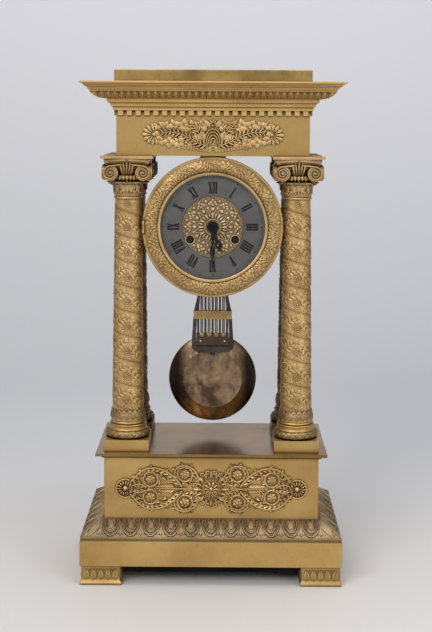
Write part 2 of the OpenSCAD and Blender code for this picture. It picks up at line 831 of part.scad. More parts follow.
module dial_plate() {
    foot_r = 1.6;
    color("burlywood")
        difference() {
            union() {
                bar(at_centre, dial_r, plate_face, dial_back);
                for (a = foot_dirs) {
                    bar(spoke(foot_at, a), foot_r, plate_face, front_face);
                    bar(spoke(foot_at, a), foot_pin_r, plate_face, inner_face);
                }
            }
            for (p = [at_going, at_strike])
                bar(p, wind_hole_r, plate_face - 1, dial_back + 1);
            bar(at_centre, 4.2, plate_face - 1, dial_back + 1);
        }
}

module chapter_ring() {
    color("dimgray")
        difference() {
            bar(at_centre, dial_r - ring_inset, ring_face, plate_face);
            bar(at_centre, ring_r_in, ring_face - 1, plate_face + 1);
        }
}

module minute_hand() {
    l = minute_len;
    color("midnightblue")
        difference() {
            translate([0, 0, dial_z])
                slab(minute_y, minute_y + hand_t) {
                    circle(r = 4.8);
                    polygon([[-1.5, -3], [-1, -0.42 * l], [-2.6, -0.5 * l], [-2.6, -0.6 * l],
                        [-1.1, -0.7 * l], [-0.3, -l], [0.3, -l], [1.1, -0.7 * l], [2.6, -0.6 * l],
                        [2.6, -0.5 * l], [1, -0.42 * l], [1.5, -3]]);
                }
            bar(at_centre, minute_pipe_r + seat_gap, minute_y - 1, minute_y + 2);
        }
}

module hour_hand() {
    l = hour_len;
    color("midnightblue")
        difference() {
            translate([0, 0, dial_z])
                rotate([0, -18, 0])
                    slab(hour_y, hour_y + hand_t)
                        difference() {
                            union() {
                                circle(r = 5.4);
                                polygon([[-1.7, -4], [-1.1, -l + 10], [1.1, -l + 10], [1.7, -4]]);
                                translate([0, -l + 7.6])
                                    circle(r = 3.2);
                                polygon([[-1.8, -l + 5.6], [-0.3, -l], [0.3, -l], [1.8, -l + 5.6]]);
                            }
                            translate([0, -l + 7.6])
                                circle(r = 1.8);
                        }
            bar(at_centre, hour_pipe_r + seat_gap, hour_y - 1, hour_y + 2);
        }
}

// Movement

// tooth outline: count, pitch radius, tip and root heights, half widths as shares of the pitch, turn
function teeth(n, r, up, down, root, tip, t) = [for (i = [0:n - 1])
    each [for (q = [[r - down, -root], [r + up, -tip], [r + up, tip], [r - down, root]])
        spoke(q[0], t + 360 / n * (i + q[1]))]];

// a wheel with four crossings, from layer y0, at a place measured from the dial centre
module wheel(p, n, m, t, y0, thick, hub) {
    r = n * m / 2;
    rim = r - 1.2 * m - 1.6;
    translate([p[0], 0, dial_z + p[1]])
        slab(y0, y0 + thick)
            difference() {
                polygon(teeth(n, r, 0.65 * m, 1.2 * m, 0.25, 0.1, t));
                if (rim - hub > 3)
                    for (k = [0:3])
                        polygon(concat(arc(0, 0, rim, 90 * k + 12, 90 * k + 78, 8),
                            arc(0, 0, hub + 1.4, 90 * k + 60, 90 * k + 30, 3)));
            }
}

// a pinion with square-cut leaves
module pinion(p, n, m, t, y0, y1) {
    translate([p[0], 0, dial_z + p[1]])
        slab(y0, y1)
            polygon(teeth(n, n * m / 2, 0.4 * m, 1.2 * m, 0.2, 0.12, t));
}

// an arbor between the plates with its two pivots
module arbor(p, y0, y1) {
    bar(p, pivot_r, front_face + 0.2, back_face - 0.2);
    bar(p, arbor_r, inner_face + y0, inner_face + y1);
}

// round holes through the plates
module pivot_holes(places, r) {
    for (p = places)
        bar(p, r + run_gap, front_face - 1, back_face + 1);
}

train_at = [at_inter, at_third, at_escape, at_count, at_pin, at_fly, at_hammer];

module front_plate() {
    color("khaki")
        difference() {
            union() {
                bar(at_centre, plate_r, front_face, inner_face);
                bar(at_minute, 1, front_face - 4.6, front_face);
            }
            pivot_holes(train_at, pivot_r);
            pivot_holes([at_anchor], pivot_r);
            pivot_holes(pillar_at, pillar_pin_r);
            pivot_holes([for (a = foot_dirs) spoke(foot_at, a)], foot_pin_r);
            pivot_holes([at_centre], arbor_r);
            pivot_holes([at_going, at_strike], wind_arbor_r - 0.4);
        }
}

module back_plate() {
    color("khaki")
        difference() {
            bar(at_centre, plate_r, back_inner, back_face);
            pivot_holes(train_at, pivot_r);
            pivot_holes([at_centre], pivot_r);
            pivot_holes(pillar_at, pillar_pin_r);
            pivot_holes([at_going, at_strike], wind_arbor_r - 0.8);
            bar(at_anchor, 3.4, back_inner - 1, back_face + 1);
        }
}

module movement_pillars() {
    color("khaki")
        for (p = pillar_at) {
            bar(p, pillar_r, inner_face, back_inner);
            bar(p, pillar_pin_r, front_face - nut_t, back_face + nut_t);
            bar(p, pillar_r, front_face - nut_t, front_face);
            bar(p, pillar_r, back_face, back_face + nut_t);
        }
}

module spring_barrel(p, t) {
    r = barrel_teeth * m_barrel / 2;
    color("darkkhaki")
        difference() {
            union() {
                bar(p, r - 2, inner_face + lay_barrel, inner_face + lay_teeth);
                translate([p[0], 0, dial_z + p[1]])
                    slab(inner_face + lay_teeth, inner_face + lay_teeth + 2.4)
                        polygon(teeth(barrel_teeth, r, 0.65 * m_barrel, 1.2 * m_barrel, 0.25, 0.1, t));
            }
            bar(p, wind_arbor_r + run_gap, inner_face, back_inner);
        }
}

module winding_arbor(p) {
    square_w = 1.25 * wind_arbor_r;
    color("slategray") {
        bar(p, wind_arbor_r, inner_face + 0.3, back_inner - 0.3);
        bar(p, wind_arbor_r - 0.4, front_face - 0.4, inner_face + 0.3);
        bar(p, wind_arbor_r - 0.8, back_inner - 0.3, back_face - 0.2);
        translate([p[0], 0, dial_z + p[1]]) {
            slab(front_face - 1.8, front_face - 0.4)
                polygon(teeth(20, 6, 0.5, 0.6, 0.42, 0.05, 0));
            slab(plate_face + 0.3, front_face - 1.8)
                square(square_w, center = true);
        }
    }
}

module going_barrel() { spring_barrel(at_going, 0); }
module strike_barrel() { spring_barrel(at_strike, 0); }
module going_arbor() { winding_arbor(at_going); }
module strike_arbor() { winding_arbor(at_strike); }

module intermediate_wheel() {
    color("darkkhaki") {
        arbor(at_inter, lay_inter - 0.8, plate_gap - 0.3);
        wheel(at_inter, inter_teeth, m_centre, turn_inter, inner_face + lay_inter, wheel_t, arbor_r);
        pinion(at_inter, inter_leaves, m_barrel, turn_inter, inner_face + lay_teeth - 0.6,
            inner_face + lay_teeth + 3);
    }
}

module centre_wheel() {
    color("darkkhaki") {
        bar(at_centre, arbor_r, minute_y + hand_t + 0.1, back_inner - 0.3);
        bar(at_centre, pivot_r, back_inner - 0.3, back_face - 0.2);
        wheel(at_centre, centre_teeth, m_third, turn_centre, inner_face + lay_centre, wheel_t, arbor_r);
        pinion(at_centre, centre_leaves, m_centre, turn_centre, inner_face + lay_inter - 0.6,
            inner_face + lay_inter + wheel_t + 0.6);
    }
}

module third_wheel() {
    color("darkkhaki") {
        arbor(at_third, 0.3, plate_gap - 0.3);
        wheel(at_third, third_teeth, m_escape, turn_third, inner_face + lay_third, wheel_t, arbor_r);
        pinion(at_third, third_leaves, m_third, turn_third, inner_face + lay_centre - 0.6,
            inner_face + lay_centre + wheel_t + 0.6);
    }
}

module escape_wheel() {
    p = at_escape;
    color("darkkhaki") {
        arbor(p, 0.3, plate_gap - 0.3);
        translate([p[0], 0, dial_z + p[1]])
            slab(inner_face + lay_escape, inner_face + lay_escape + wheel_t)
                difference() {
                    polygon(teeth(escape_teeth, escape_r, 0, 1.3, 0.26, 0.06, 0));
                    for (k = [0:3])
                        polygon(concat(arc(0, 0, escape_r - 2.8, 90 * k + 12, 90 * k + 78, 6),
                            arc(0, 0, 3, 90 * k + 60, 90 * k + 30, 2)));
                }
        pinion(p, escape_leaves, m_escape, turn_escape, inner_face + lay_third - 0.6,
            inner_face + lay_third + wheel_t + 0.6);
    }
}

module pallet_anchor() {
    p = at_anchor;
    gap = p[1] - at_escape[1];
    fork = 1.75;
    foot = -32;
    color("slategray") {
        bar(p, pivot_r, front_face + 0.2, cock_y + 1.4);
        bar(p, arbor_r, inner_face + 0.3, cock_y - 0.3);
        translate([p[0], 0, dial_z + p[1]]) {
            slab(inner_face + lay_escape - 0.2, inner_face + lay_escape + wheel_t + 0.2) {
                circle(r = 2.4);
                for (s = [-1, 1])
                    polygon([[0, 1.6], [s * 7.4, -2.4], [s * 9.2, -5.4], [s * 8.6, -gap + escape_r * 0.68],
                        [s * 7.4, -4.6], [0, -1.6]]);
            }
            slab(crutch_y, crutch_y + 1.2) {
                circle(r = 2.2);
                polygon([[-1.2, 0], [1.2, 0], [1.2, foot + 3], [fork + 1.2, foot + 1.4],
                    [fork + 1.2, foot - 1.4], [-fork - 1.2, foot - 1.4],
                    [-fork - 1.2, foot + 1.4], [-1.2, foot + 3]]);
            }
            for (s = [-1, 1])
                slab(crutch_y, susp_y + 2.4)
                    translate([s * (fork + 0.6), foot])
                        square([1.2, 2.8], center = true);
        }
    }
}

module cannon_pinion() {
    color("darkkhaki")
        difference() {
            union() {
                pinion(at_centre, cannon_leaves, m_motion, 0, front_face - 2, front_face - 0.4);
                bar(at_centre, 2.1, minute_y + hand_t, front_face - 0.4);
                bar(at_centre, minute_pipe_r, minute_y - 0.6, minute_y + hand_t);
                bar(at_centre, 3, minute_y - 0.8, minute_y);
            }
            bar(at_centre, arbor_r + run_gap, minute_y + hand_t, front_face + 1);
        }
}

module minute_wheel() {
    color("darkkhaki")
        difference() {
            union() {
                wheel(at_minute, minute_teeth, m_motion, turn_minute, front_face - 1.8, wheel_t, 2);
                pinion(at_minute, minute_leaves, m_hour, turn_minute, front_face - 4, front_face - 1.8);
            }
            bar(at_minute, 1 + run_gap, front_face - 6, front_face);
        }
}

module hour_wheel() {
    color("darkkhaki")
        difference() {
            union() {
                wheel(at_centre, hour_teeth, m_hour, turn_hour, front_face - 3.6, wheel_t, 3.4);
                bar(at_centre, hour_pipe_r, hour_y, front_face - 2.4);
                bar(at_centre, 3.9, hour_y + hand_t, front_face - 2.4);
            }
            bar(at_centre, 2.1 + run_gap, hour_y - 1, front_face);
        }
}

// Striking side

module count_wheel() {
    p = at_count;
    color("darkkhaki") {
        arbor(p, 0.3, plate_gap - 0.3);
        bar(p, pivot_r, back_face - 0.3, back_face + 1.9);
        wheel(p, count_teeth, m_count, turn_count, inner_face + lay_inter, wheel_t, arbor_r);
        pinion(p, count_leaves, m_barrel, turn_count, inner_face + lay_teeth - 0.6,
            inner_face + lay_teeth + 3);
        translate([p[0], 0, dial_z + p[1]])
            slab(back_face + 0.5, back_face + 1.7)
                polygon([for (i = [0:11]) each [for (q = [[9.6, 0], [9.6, 3], [11.6, 3.4], [11.6, 29.6]])
                    spoke(q[0], 30 * i + q[1])]]);
    }
}

module pin_wheel() {
    p = at_pin;
    color("darkkhaki") {
        arbor(p, 0.3, plate_gap - 0.3);
        wheel(p, pin_teeth, m_pin, turn_pin, inner_face + lay_third, wheel_t, arbor_r);
        pinion(p, pin_leaves, m_count, turn_pin, inner_face + lay_inter - 0.6,
            inner_face + lay_inter + wheel_t + 0.6);
        for (k = [0:7])
            bar(p + spoke(7, 45 * k), 0.5, inner_face + lay_third, inner_face + lay_barrel - 0.6);
    }
}

module strike_fly() {
    p = at_fly;
    color("darkkhaki") {
        arbor(p, 0.3, plate_gap - 0.3);
        pinion(p, fly_leaves, m_pin, turn_fly, inner_face + lay_third - 0.6,
            inner_face + lay_third + wheel_t + 0.6);
        translate([p[0], 0, dial_z + p[1]])
            slab(inner_face + 0.8, inner_face + lay_third - 1.4)
                square([8, 0.6], center = true);
    }
}

module hammer() {
    p = at_hammer;
    to_pin = at_pin - p;
    tail = norm(to_pin) - 8;
    strike_dir = 235;
    head_r = 2.6;
    head = spoke(bell_r + 0.8 + head_r, strike_dir);
    arm = head - p;
    color("slategray") {
        bar(p, pivot_r, front_face + 0.2, bell_y + 5);
        bar(p, arbor_r, inner_face + 0.3, back_inner - 0.3);
        bar(p, arbor_r, back_face + 0.3, bell_y + 5);
        bar(head, head_r, bell_y + 0.6, bell_y + 6);
        translate([p[0], 0, dial_z + p[1]]) {
            slab(inner_face + lay_third + wheel_t + 0.5, inner_face + lay_barrel - 0.6)
                rotate([0, 0, atan2(to_pin[1], to_pin[0])])
                    translate([0, -0.7])
                        square([tail, 1.4]);
            slab(bell_y + 2, bell_y + 4)
                rotate([0, 0, atan2(arm[1], arm[0])])
                    translate([0, -0.9])
                        square([norm(arm), 1.8]);
        }
    }
}

module bell() {
    n = 10;
    color("darkgoldenrod")
        turned(bell_y)
            polygon(concat([for (i = [0:n]) let (a = 81 * i / n) [bell_r * cos(a), -bell_d * sin(a)]],
                [[2.1, -bell_d - 0.1], [2.1, -bell_d + bell_t]],
                [for (i = [n:-1:0]) let (a = 81 * i / n)
                [(bell_r - bell_t) * cos(a), -(bell_d - bell_t) * sin(a)]]));
}

module bell_bracket() {
    y = bell_y + bell_d - bell_t - 6.4;
    to_mid = norm(post_at);
    color("khaki") {
        bar(post_at, post_r, back_face, y + 2);
        bar(post_at, post_r + 1.4, back_face, back_face + 1.6);
        translate([0, 0, dial_z])
            slab(y, y + 2)
                rotate([0, 0, atan2(post_at[1], post_at[0])])
                    translate([0, -1.8])
                        square([to_mid, 3.6]);
        bar(at_centre, 3.4, y, bell_y + bell_d - bell_t - 0.3);
        bar(at_centre, 1.9, y, bell_y + bell_d + 3);
        bar(at_centre, 3.6, bell_y + bell_d + 0.2, bell_y + bell_d + 2.4);
    }
}

// Pendulum

module back_cock() {
    p = at_anchor;
    color("khaki")
        difference() {
            union() {
                translate([p[0], 0, dial_z + p[1]]) {
                    slab(cock_y, cock_y + cock_t)
                        polygon([[-17, -6], [17, -6], [17, 1], [6, 6], [-6, 6], [-17, 1]]);
                    for (s = [-1, 1])
                        slab(back_face, cock_y)
                            translate([s * 14.4, -2.6])
                                square([5.2, 6.4], center = true);
                }
                bar(p, susp_pin_r, cock_y + 1.6, susp_y + eye_t / 2 + 2.2);
                bar(p, susp_pin_r + 1.2, cock_y + cock_t, susp_y - eye_t / 2 - 0.3);
                bar(p, susp_pin_r + 1, susp_y + eye_t / 2 + 0.6, susp_y + eye_t / 2 + 2.2);
            }
            bar(p, pivot_r + run_gap, cock_y - 1, cock_y + 1.6);
        }
}

module suspension_spring() {
    p = at_anchor;
    color("slategray")
        difference() {
            translate([p[0], 0, dial_z + p[1]]) {
                slab(susp_y - eye_t / 2, susp_y + eye_t / 2) {
                    circle(r = 3);
                    translate([-1.6, -5])
                        square([3.2, 5]);
                    translate([-1.6, z_chop - z_susp])
                        square([3.2, 4]);
                }
                slab(susp_y - eye_t / 2 + 0.3, susp_y + eye_t / 2 - 0.3)
                    translate([-0.25, z_chop - z_susp])
                        square([0.5, z_susp - z_chop - 4]);
            }
            bar(p, susp_pin_r + run_gap, susp_y - 5, susp_y + 5);
        }
}

// half outline of the steel frame: outer edge from the tray up to the neck, and the opening inside it
function frame_edge() =
    let (w = arch_w + 2.2, top = z_arch + arch_rise + 5)
    concat([[0, z_tray], [9, z_tray + 0.3], [16, z_tray + 1.6], [20.8, z_tray + 3.6]],
    [for (p = frame_side) [p[1], p[0]]],
    [for (i = [1:6]) let (a = 15 * i) [w - (w - 3) * (1 - cos(a)), z_arch + (arch_rise + 5) * sin(a)]],
    [[1.5, top + 3], [0, top + 3]]);
function frame_hole() =
    concat([[0, z_tray + tray_h], [17.2, z_tray + tray_h]],
    [for (i = [1:6]) [frame_side[i][1] - frame_side[i][2], frame_side[i][0]]],
    [for (i = [1:6]) let (a = 15 * i) [arch_w * cos(a), z_arch + arch_rise * sin(a)]]);

module pendulum_frame() {
    rod_foot = z_tray + tray_h - 1;
    color("dimgray") {
        slab(susp_y - frame_t / 2, susp_y + frame_t / 2)
            difference() {
                for (m = [0, 1])
                    mirror([m, 0])
                        polygon(frame_edge());
                for (m = [0, 1])
                    mirror([m, 0])
                        polygon(frame_hole());
            }
        // the inner rods reach the arch, the outer two run into the sides
        for (k = [-1:1])
            translate([2 * k * rod_pitch, susp_y, rod_foot])
                cylinder(r = steel_rod_r, h = z_arch + 1.5 - rod_foot
                    + arch_rise * sqrt(max(0, 1 - pow(2 * k * rod_pitch / arch_w, 2))));
        for (k = [-2, 2])
            translate([2 * k * rod_pitch, susp_y, rod_foot])
                cylinder(r = steel_rod_r, h = z_over + 6 - rod_foot);
        translate([0, susp_y, z_arch + arch_rise])
            cylinder(r = 1.5, h = z_chop - z_arch - arch_rise);
        translate([0, susp_y + frame_t / 2 - 1, z_tray - 3])
            box([-3, 0, 0], [3, strip_y - frame_t / 2 + 1, tray_h + 2]);
        translate([0, susp_y, z_tray - 2.6])
            cylinder(r = 1.4, h = 4);
    }
}

module pendulum_brass() {
    color("goldenrod") {
        for (k = [-3, -1, 1, 3])
            translate([k * rod_pitch, susp_y, z_low_bar])
                cylinder(r = brass_rod_r, h = z_arch - 3 - z_low_bar);
        for (s = [0, 1])
            translate([0, susp_y, 0])
                mirror([0, s, 0]) {
                    box([-bar_w / 2, -strip_y, z_bar], [bar_w / 2, -frame_t / 2, z_bar + bar_h]);
                    box([-low_bar_w / 2, -strip_y, z_low_bar],
                        [low_bar_w / 2, -frame_t / 2, z_low_bar + low_bar_h]);
                }
    }
}

module pendulum_bob() {
    h = bob_t / 2;
    flat = 0.67 * bob_r;
    color("sienna")
        translate([0, bob_y, z_bob])
            rotate([90, 0, 0])
                rotate_extrude()
                    polygon([[0, -h], [flat, -h], [flat + 1.4, -h + 0.8], [bob_r - 1, -1.8], [bob_r, -0.9],
                        [bob_r, 0.9], [bob_r - 1, 1.8], [flat + 1.4, h - 0.8], [flat, h], [0, h]]);
}

bracket_feet();
base_board();
base_plinth();
leaf_moulding();
pedestal_case();
pedestal_mount();
pedestal_top();
column_base_front_left();
column_base_front_right();
column_base_rear_left();
column_base_rear_right();
column_shaft_front_left();
column_shaft_front_right();
column_shaft_rear_left();
column_shaft_rear_right();
column_capital_front_left();
column_capital_front_right();
column_capital_rear_left();
column_capital_rear_right();
tie_rods();
frieze_case();
frieze_mount();
dentil_course();
cornice();
attic_block();
clock_drum();
drum_saddle();
bezel();
bezel_glass();
bezel_hinge_pin();
dial_plate();
chapter_ring();
hour_hand();
minute_hand();
front_plate();
back_plate();
movement_pillars();
going_barrel();
going_arbor();
intermediate_wheel();
centre_wheel();
third_wheel();
escape_wheel();
pallet_anchor();
cannon_pinion();
minute_wheel();
hour_wheel();
strike_barrel();
strike_arbor();
count_wheel();
pin_wheel();
strike_fly();
hammer();
bell();
bell_bracket();
back_cock();
suspension_spring();
pendulum_frame();
pendulum_brass();
pendulum_bob();
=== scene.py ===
import json
import math

import bpy
from mathutils import Matrix, Vector


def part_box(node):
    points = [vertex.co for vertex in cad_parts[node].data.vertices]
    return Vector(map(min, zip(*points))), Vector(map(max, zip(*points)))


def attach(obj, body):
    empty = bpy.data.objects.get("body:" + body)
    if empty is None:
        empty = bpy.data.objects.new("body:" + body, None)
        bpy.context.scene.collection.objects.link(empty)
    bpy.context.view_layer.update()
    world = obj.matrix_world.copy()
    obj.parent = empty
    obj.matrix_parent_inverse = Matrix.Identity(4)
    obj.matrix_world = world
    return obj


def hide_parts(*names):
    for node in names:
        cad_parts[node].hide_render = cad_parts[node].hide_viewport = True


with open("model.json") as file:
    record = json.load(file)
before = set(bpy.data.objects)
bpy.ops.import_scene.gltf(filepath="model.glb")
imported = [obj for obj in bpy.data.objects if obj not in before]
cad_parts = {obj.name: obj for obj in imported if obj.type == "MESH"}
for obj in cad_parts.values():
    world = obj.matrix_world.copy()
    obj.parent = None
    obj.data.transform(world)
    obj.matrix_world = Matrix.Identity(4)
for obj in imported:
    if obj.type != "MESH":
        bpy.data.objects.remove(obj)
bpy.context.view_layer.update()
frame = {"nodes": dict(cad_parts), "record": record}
nodes = frame["nodes"]
mm = 0.001
inMetres = Matrix.Scale(mm, 4)
print("frame loaded,", len(nodes), "nodes")


# camera, lamps, floor and background

cameraSet = {"place": (0.01098, -1.25092, 0.4602), "turn": (86.47, -0.3, 0.39), "focalPixels": 1230.13,
             "framePixels": 632, "sensor": 36, "shift": -0.2, "clip": (0.05, 50)}
lampSet = {
    "key": {"place": (-1.1, -1.9, 1.75), "size": (1.5, 1.1), "watts": 40, "colour": (1.0, 0.975, 0.94)},
    "fill": {"place": (1.5, -1.6, 0.9), "size": (1.2, 1.4), "watts": 15, "colour": (0.97, 0.98, 1.0)},
    "top": {"place": (0.1, -0.2, 1.9), "size": (1.6, 1.2), "watts": 18, "colour": (1.0, 0.99, 0.97)},
}
lampAim = Vector((0, 0, 0.27))
stageSet = {"size": 6, "place": (0, -1.3, -0.0003), "wall": 4, "bend": 0.9, "floor": (0.565, 0.548, 0.535),
            "wallLow": (0.50, 0.505, 0.525), "wallHigh": (0.72, 0.715, 0.755), "wallTop": 0.9, "floorEnd": 0.42,
            "rough": 0.6, "shine": 0.25, "sky": (0.82, 0.84, 0.88), "skyStrength": 0.55}


def deselect():
    if bpy.context.object and bpy.context.object.mode != "OBJECT":
        bpy.ops.object.mode_set(mode="OBJECT")
    bpy.ops.object.select_all(action="DESELECT")


def added(add, **settings):
    deselect()
    add(**settings)
    return bpy.context.object


def pick(piece):
    deselect()
    piece.select_set(True)
    bpy.context.view_layer.objects.active = piece


def placeCamera():
    look = cameraSet
    camera = added(bpy.ops.object.camera_add, location=look["place"])
    camera.name = "photo_camera"
    camera.rotation_euler = [math.radians(turn) for turn in look["turn"]]
    camera.data.sensor_width = look["sensor"]
    camera.data.lens = look["focalPixels"] * look["sensor"] / look["framePixels"]
    camera.data.shift_y = look["shift"]
    camera.data.clip_start, camera.data.clip_end = look["clip"]
    bpy.context.scene.camera = camera


def placeLamps():
    for name, lamp in lampSet.items():
        light = added(bpy.ops.object.light_add, type="AREA", location=lamp["place"])
        light.name = "lamp_" + name
        light.rotation_euler = (lampAim - light.location).to_track_quat("-Z", "Y").to_euler()
        light.data.shape = "RECTANGLE"
        light.data.size, light.data.size_y = lamp["size"]
        light.data.energy = lamp["watts"]
        light.data.color = lamp["colour"]


class Wire:
    # a node socket: sums on it add Math nodes, and make adds any other node
    def __init__(self, tree, socket):
        self.tree = tree
        self.socket = socket

    def make(self, kind, settings, sockets, out=0):
        node = self.tree.nodes.new(kind)
        for key, value in settings.items():
            setattr(node, key, value)
        for key, value in sockets.items():
            if isinstance(value, Wire):
                self.tree.links.new(value.socket, node.inputs[key])
            else:
                node.inputs[key].default_value = value
        return Wire(self.tree, node.outputs[out])

    def sum(self, operation, first, second):
        return self.make("ShaderNodeMath", {"operation": operation}, {0: first, 1: second})

    def __add__(self, other):
        return self.sum("ADD", self, other)

    def __sub__(self, other):
        return self.sum("SUBTRACT", self, other)

    def __rsub__(self, other):
        return self.sum("SUBTRACT", other, self)

    def __mul__(self, other):
        return self.sum("MULTIPLY", self, other)

    def __truediv__(self, other):
        return self.sum("DIVIDE", self, other)

    def __pow__(self, other):
        return self.sum("POWER", self, other)

    __radd__ = __add__
    __rmul__ = __mul__

    def clamped(self, low, high):
        return self.make("ShaderNodeMapRange", {}, {0: self, 1: low, 2: high, 3: 0.0, 4: 1.0})

    def blend(self, first, second):
        return self.make("ShaderNodeMix", {"data_type": "RGBA"}, {0: self, 6: rgba(first), 7: rgba(second)}, 2)

    def tint(self, look):
        return self.blend(look["dark"], look["light"])

    def axis(self, which):
        return self.make("ShaderNodeSeparateXYZ", {}, {0: self}, which)

    def noise(self, scale, detail, **more):
        return self.make("ShaderNodeTexNoise", {}, {"Vector": self, "Scale": scale, "Detail": detail, **more})

    def bump(self, strength, distance):
        return self.make("ShaderNodeBump", {}, {"Strength": strength, "Distance": distance * mm, "Height": self})


def newMaterial(name):
    material = bpy.data.materials.new(name)
    material.use_nodes = True
    tree = material.node_tree
    shader = tree.nodes["Principled BSDF"]
    place = Wire(tree, tree.nodes.new("ShaderNodeTexCoord").outputs["Object"])
    return material, shader, place


def feed(value, node, socket):
    if isinstance(value, Wire):
        value.tree.links.new(value.socket, node.inputs[socket])
    else:
        node.inputs[socket].default_value = value


def rgba(colour):
    return colour if isinstance(colour, Wire) else (*colour, 1.0)


def makeStage():
    look = stageSet
    floor = added(bpy.ops.mesh.primitive_plane_add, size=look["size"], location=look["place"])
    floor.name = "studio_floor"
    bpy.ops.object.mode_set(mode="EDIT")
    bpy.ops.mesh.select_mode(type="EDGE")
    bpy.ops.mesh.select_all(action="DESELECT")
    bpy.ops.object.mode_set(mode="OBJECT")
    for edge in floor.data.edges:
        edge.select = all(floor.data.vertices[i].co.y > 2 for i in edge.vertices)
    bpy.ops.object.mode_set(mode="EDIT")
    bpy.ops.mesh.extrude_region_move(TRANSFORM_OT_translate={"value": (0, 0, look["wall"])})
    bpy.ops.object.mode_set(mode="OBJECT")
    bpy.ops.object.transform_apply(location=True, rotation=True, scale=True)
    bend = floor.modifiers.new("sweep", "BEVEL")
    bend.width = look["bend"]
    bend.segments = 16
    bpy.ops.object.modifier_apply(modifier="sweep")
    bpy.ops.object.shade_smooth()
    material, shader, place = newMaterial("studio_paper")
    # painted light and shade on the paper: darker low on the wall and on the floor behind the clock, lighter high on
    # the wall
    wall = place.axis(2).clamped(0.0, look["wallTop"]).blend(look["wallLow"], look["wallHigh"])
    tone = place.axis(1).clamped(0.0, look["floorEnd"]).blend(look["floor"], wall)
    for value, socket in ((tone, "Base Color"), (look["rough"], "Roughness"), (look["shine"], "Specular IOR Level")):
        feed(value, shader, socket)
    # clear from behind, so that it doesn't hide the clock's back
    behind = place.make("ShaderNodeNewGeometry", {}, {}, "Backfacing")
    clear = place.make("ShaderNodeBsdfTransparent", {}, {})
    paper = Wire(place.tree, shader.outputs["BSDF"])
    sheet = place.make("ShaderNodeMixShader", {}, {0: behind, 1: paper, 2: clear})
    feed(sheet, place.tree.nodes["Material Output"], "Surface")
    floor.data.materials.append(material)
    world = bpy.data.worlds.new("studio_air")
    bpy.context.scene.world = world
    world.use_nodes = True
    sky = world.node_tree.nodes["Background"]
    feed(rgba(look["sky"]), sky, "Color")
    feed(look["skyStrength"], sky, "Strength")
    bpy.context.scene.view_settings.view_transform = "Standard"


placeCamera()
placeLamps()
makeStage()
print("camera, lamps and floor placed")


# finishes: metals first, with what most of them share in metalBase

metalBase = {"rough": (0.4, 0.56), "cloud": 60, "speck": 0.2, "crease": 2.6, "grain": 0.2, "open": (0.35, 0.92),
             "speckScale": 260.0, "grainScale": 1100.0}
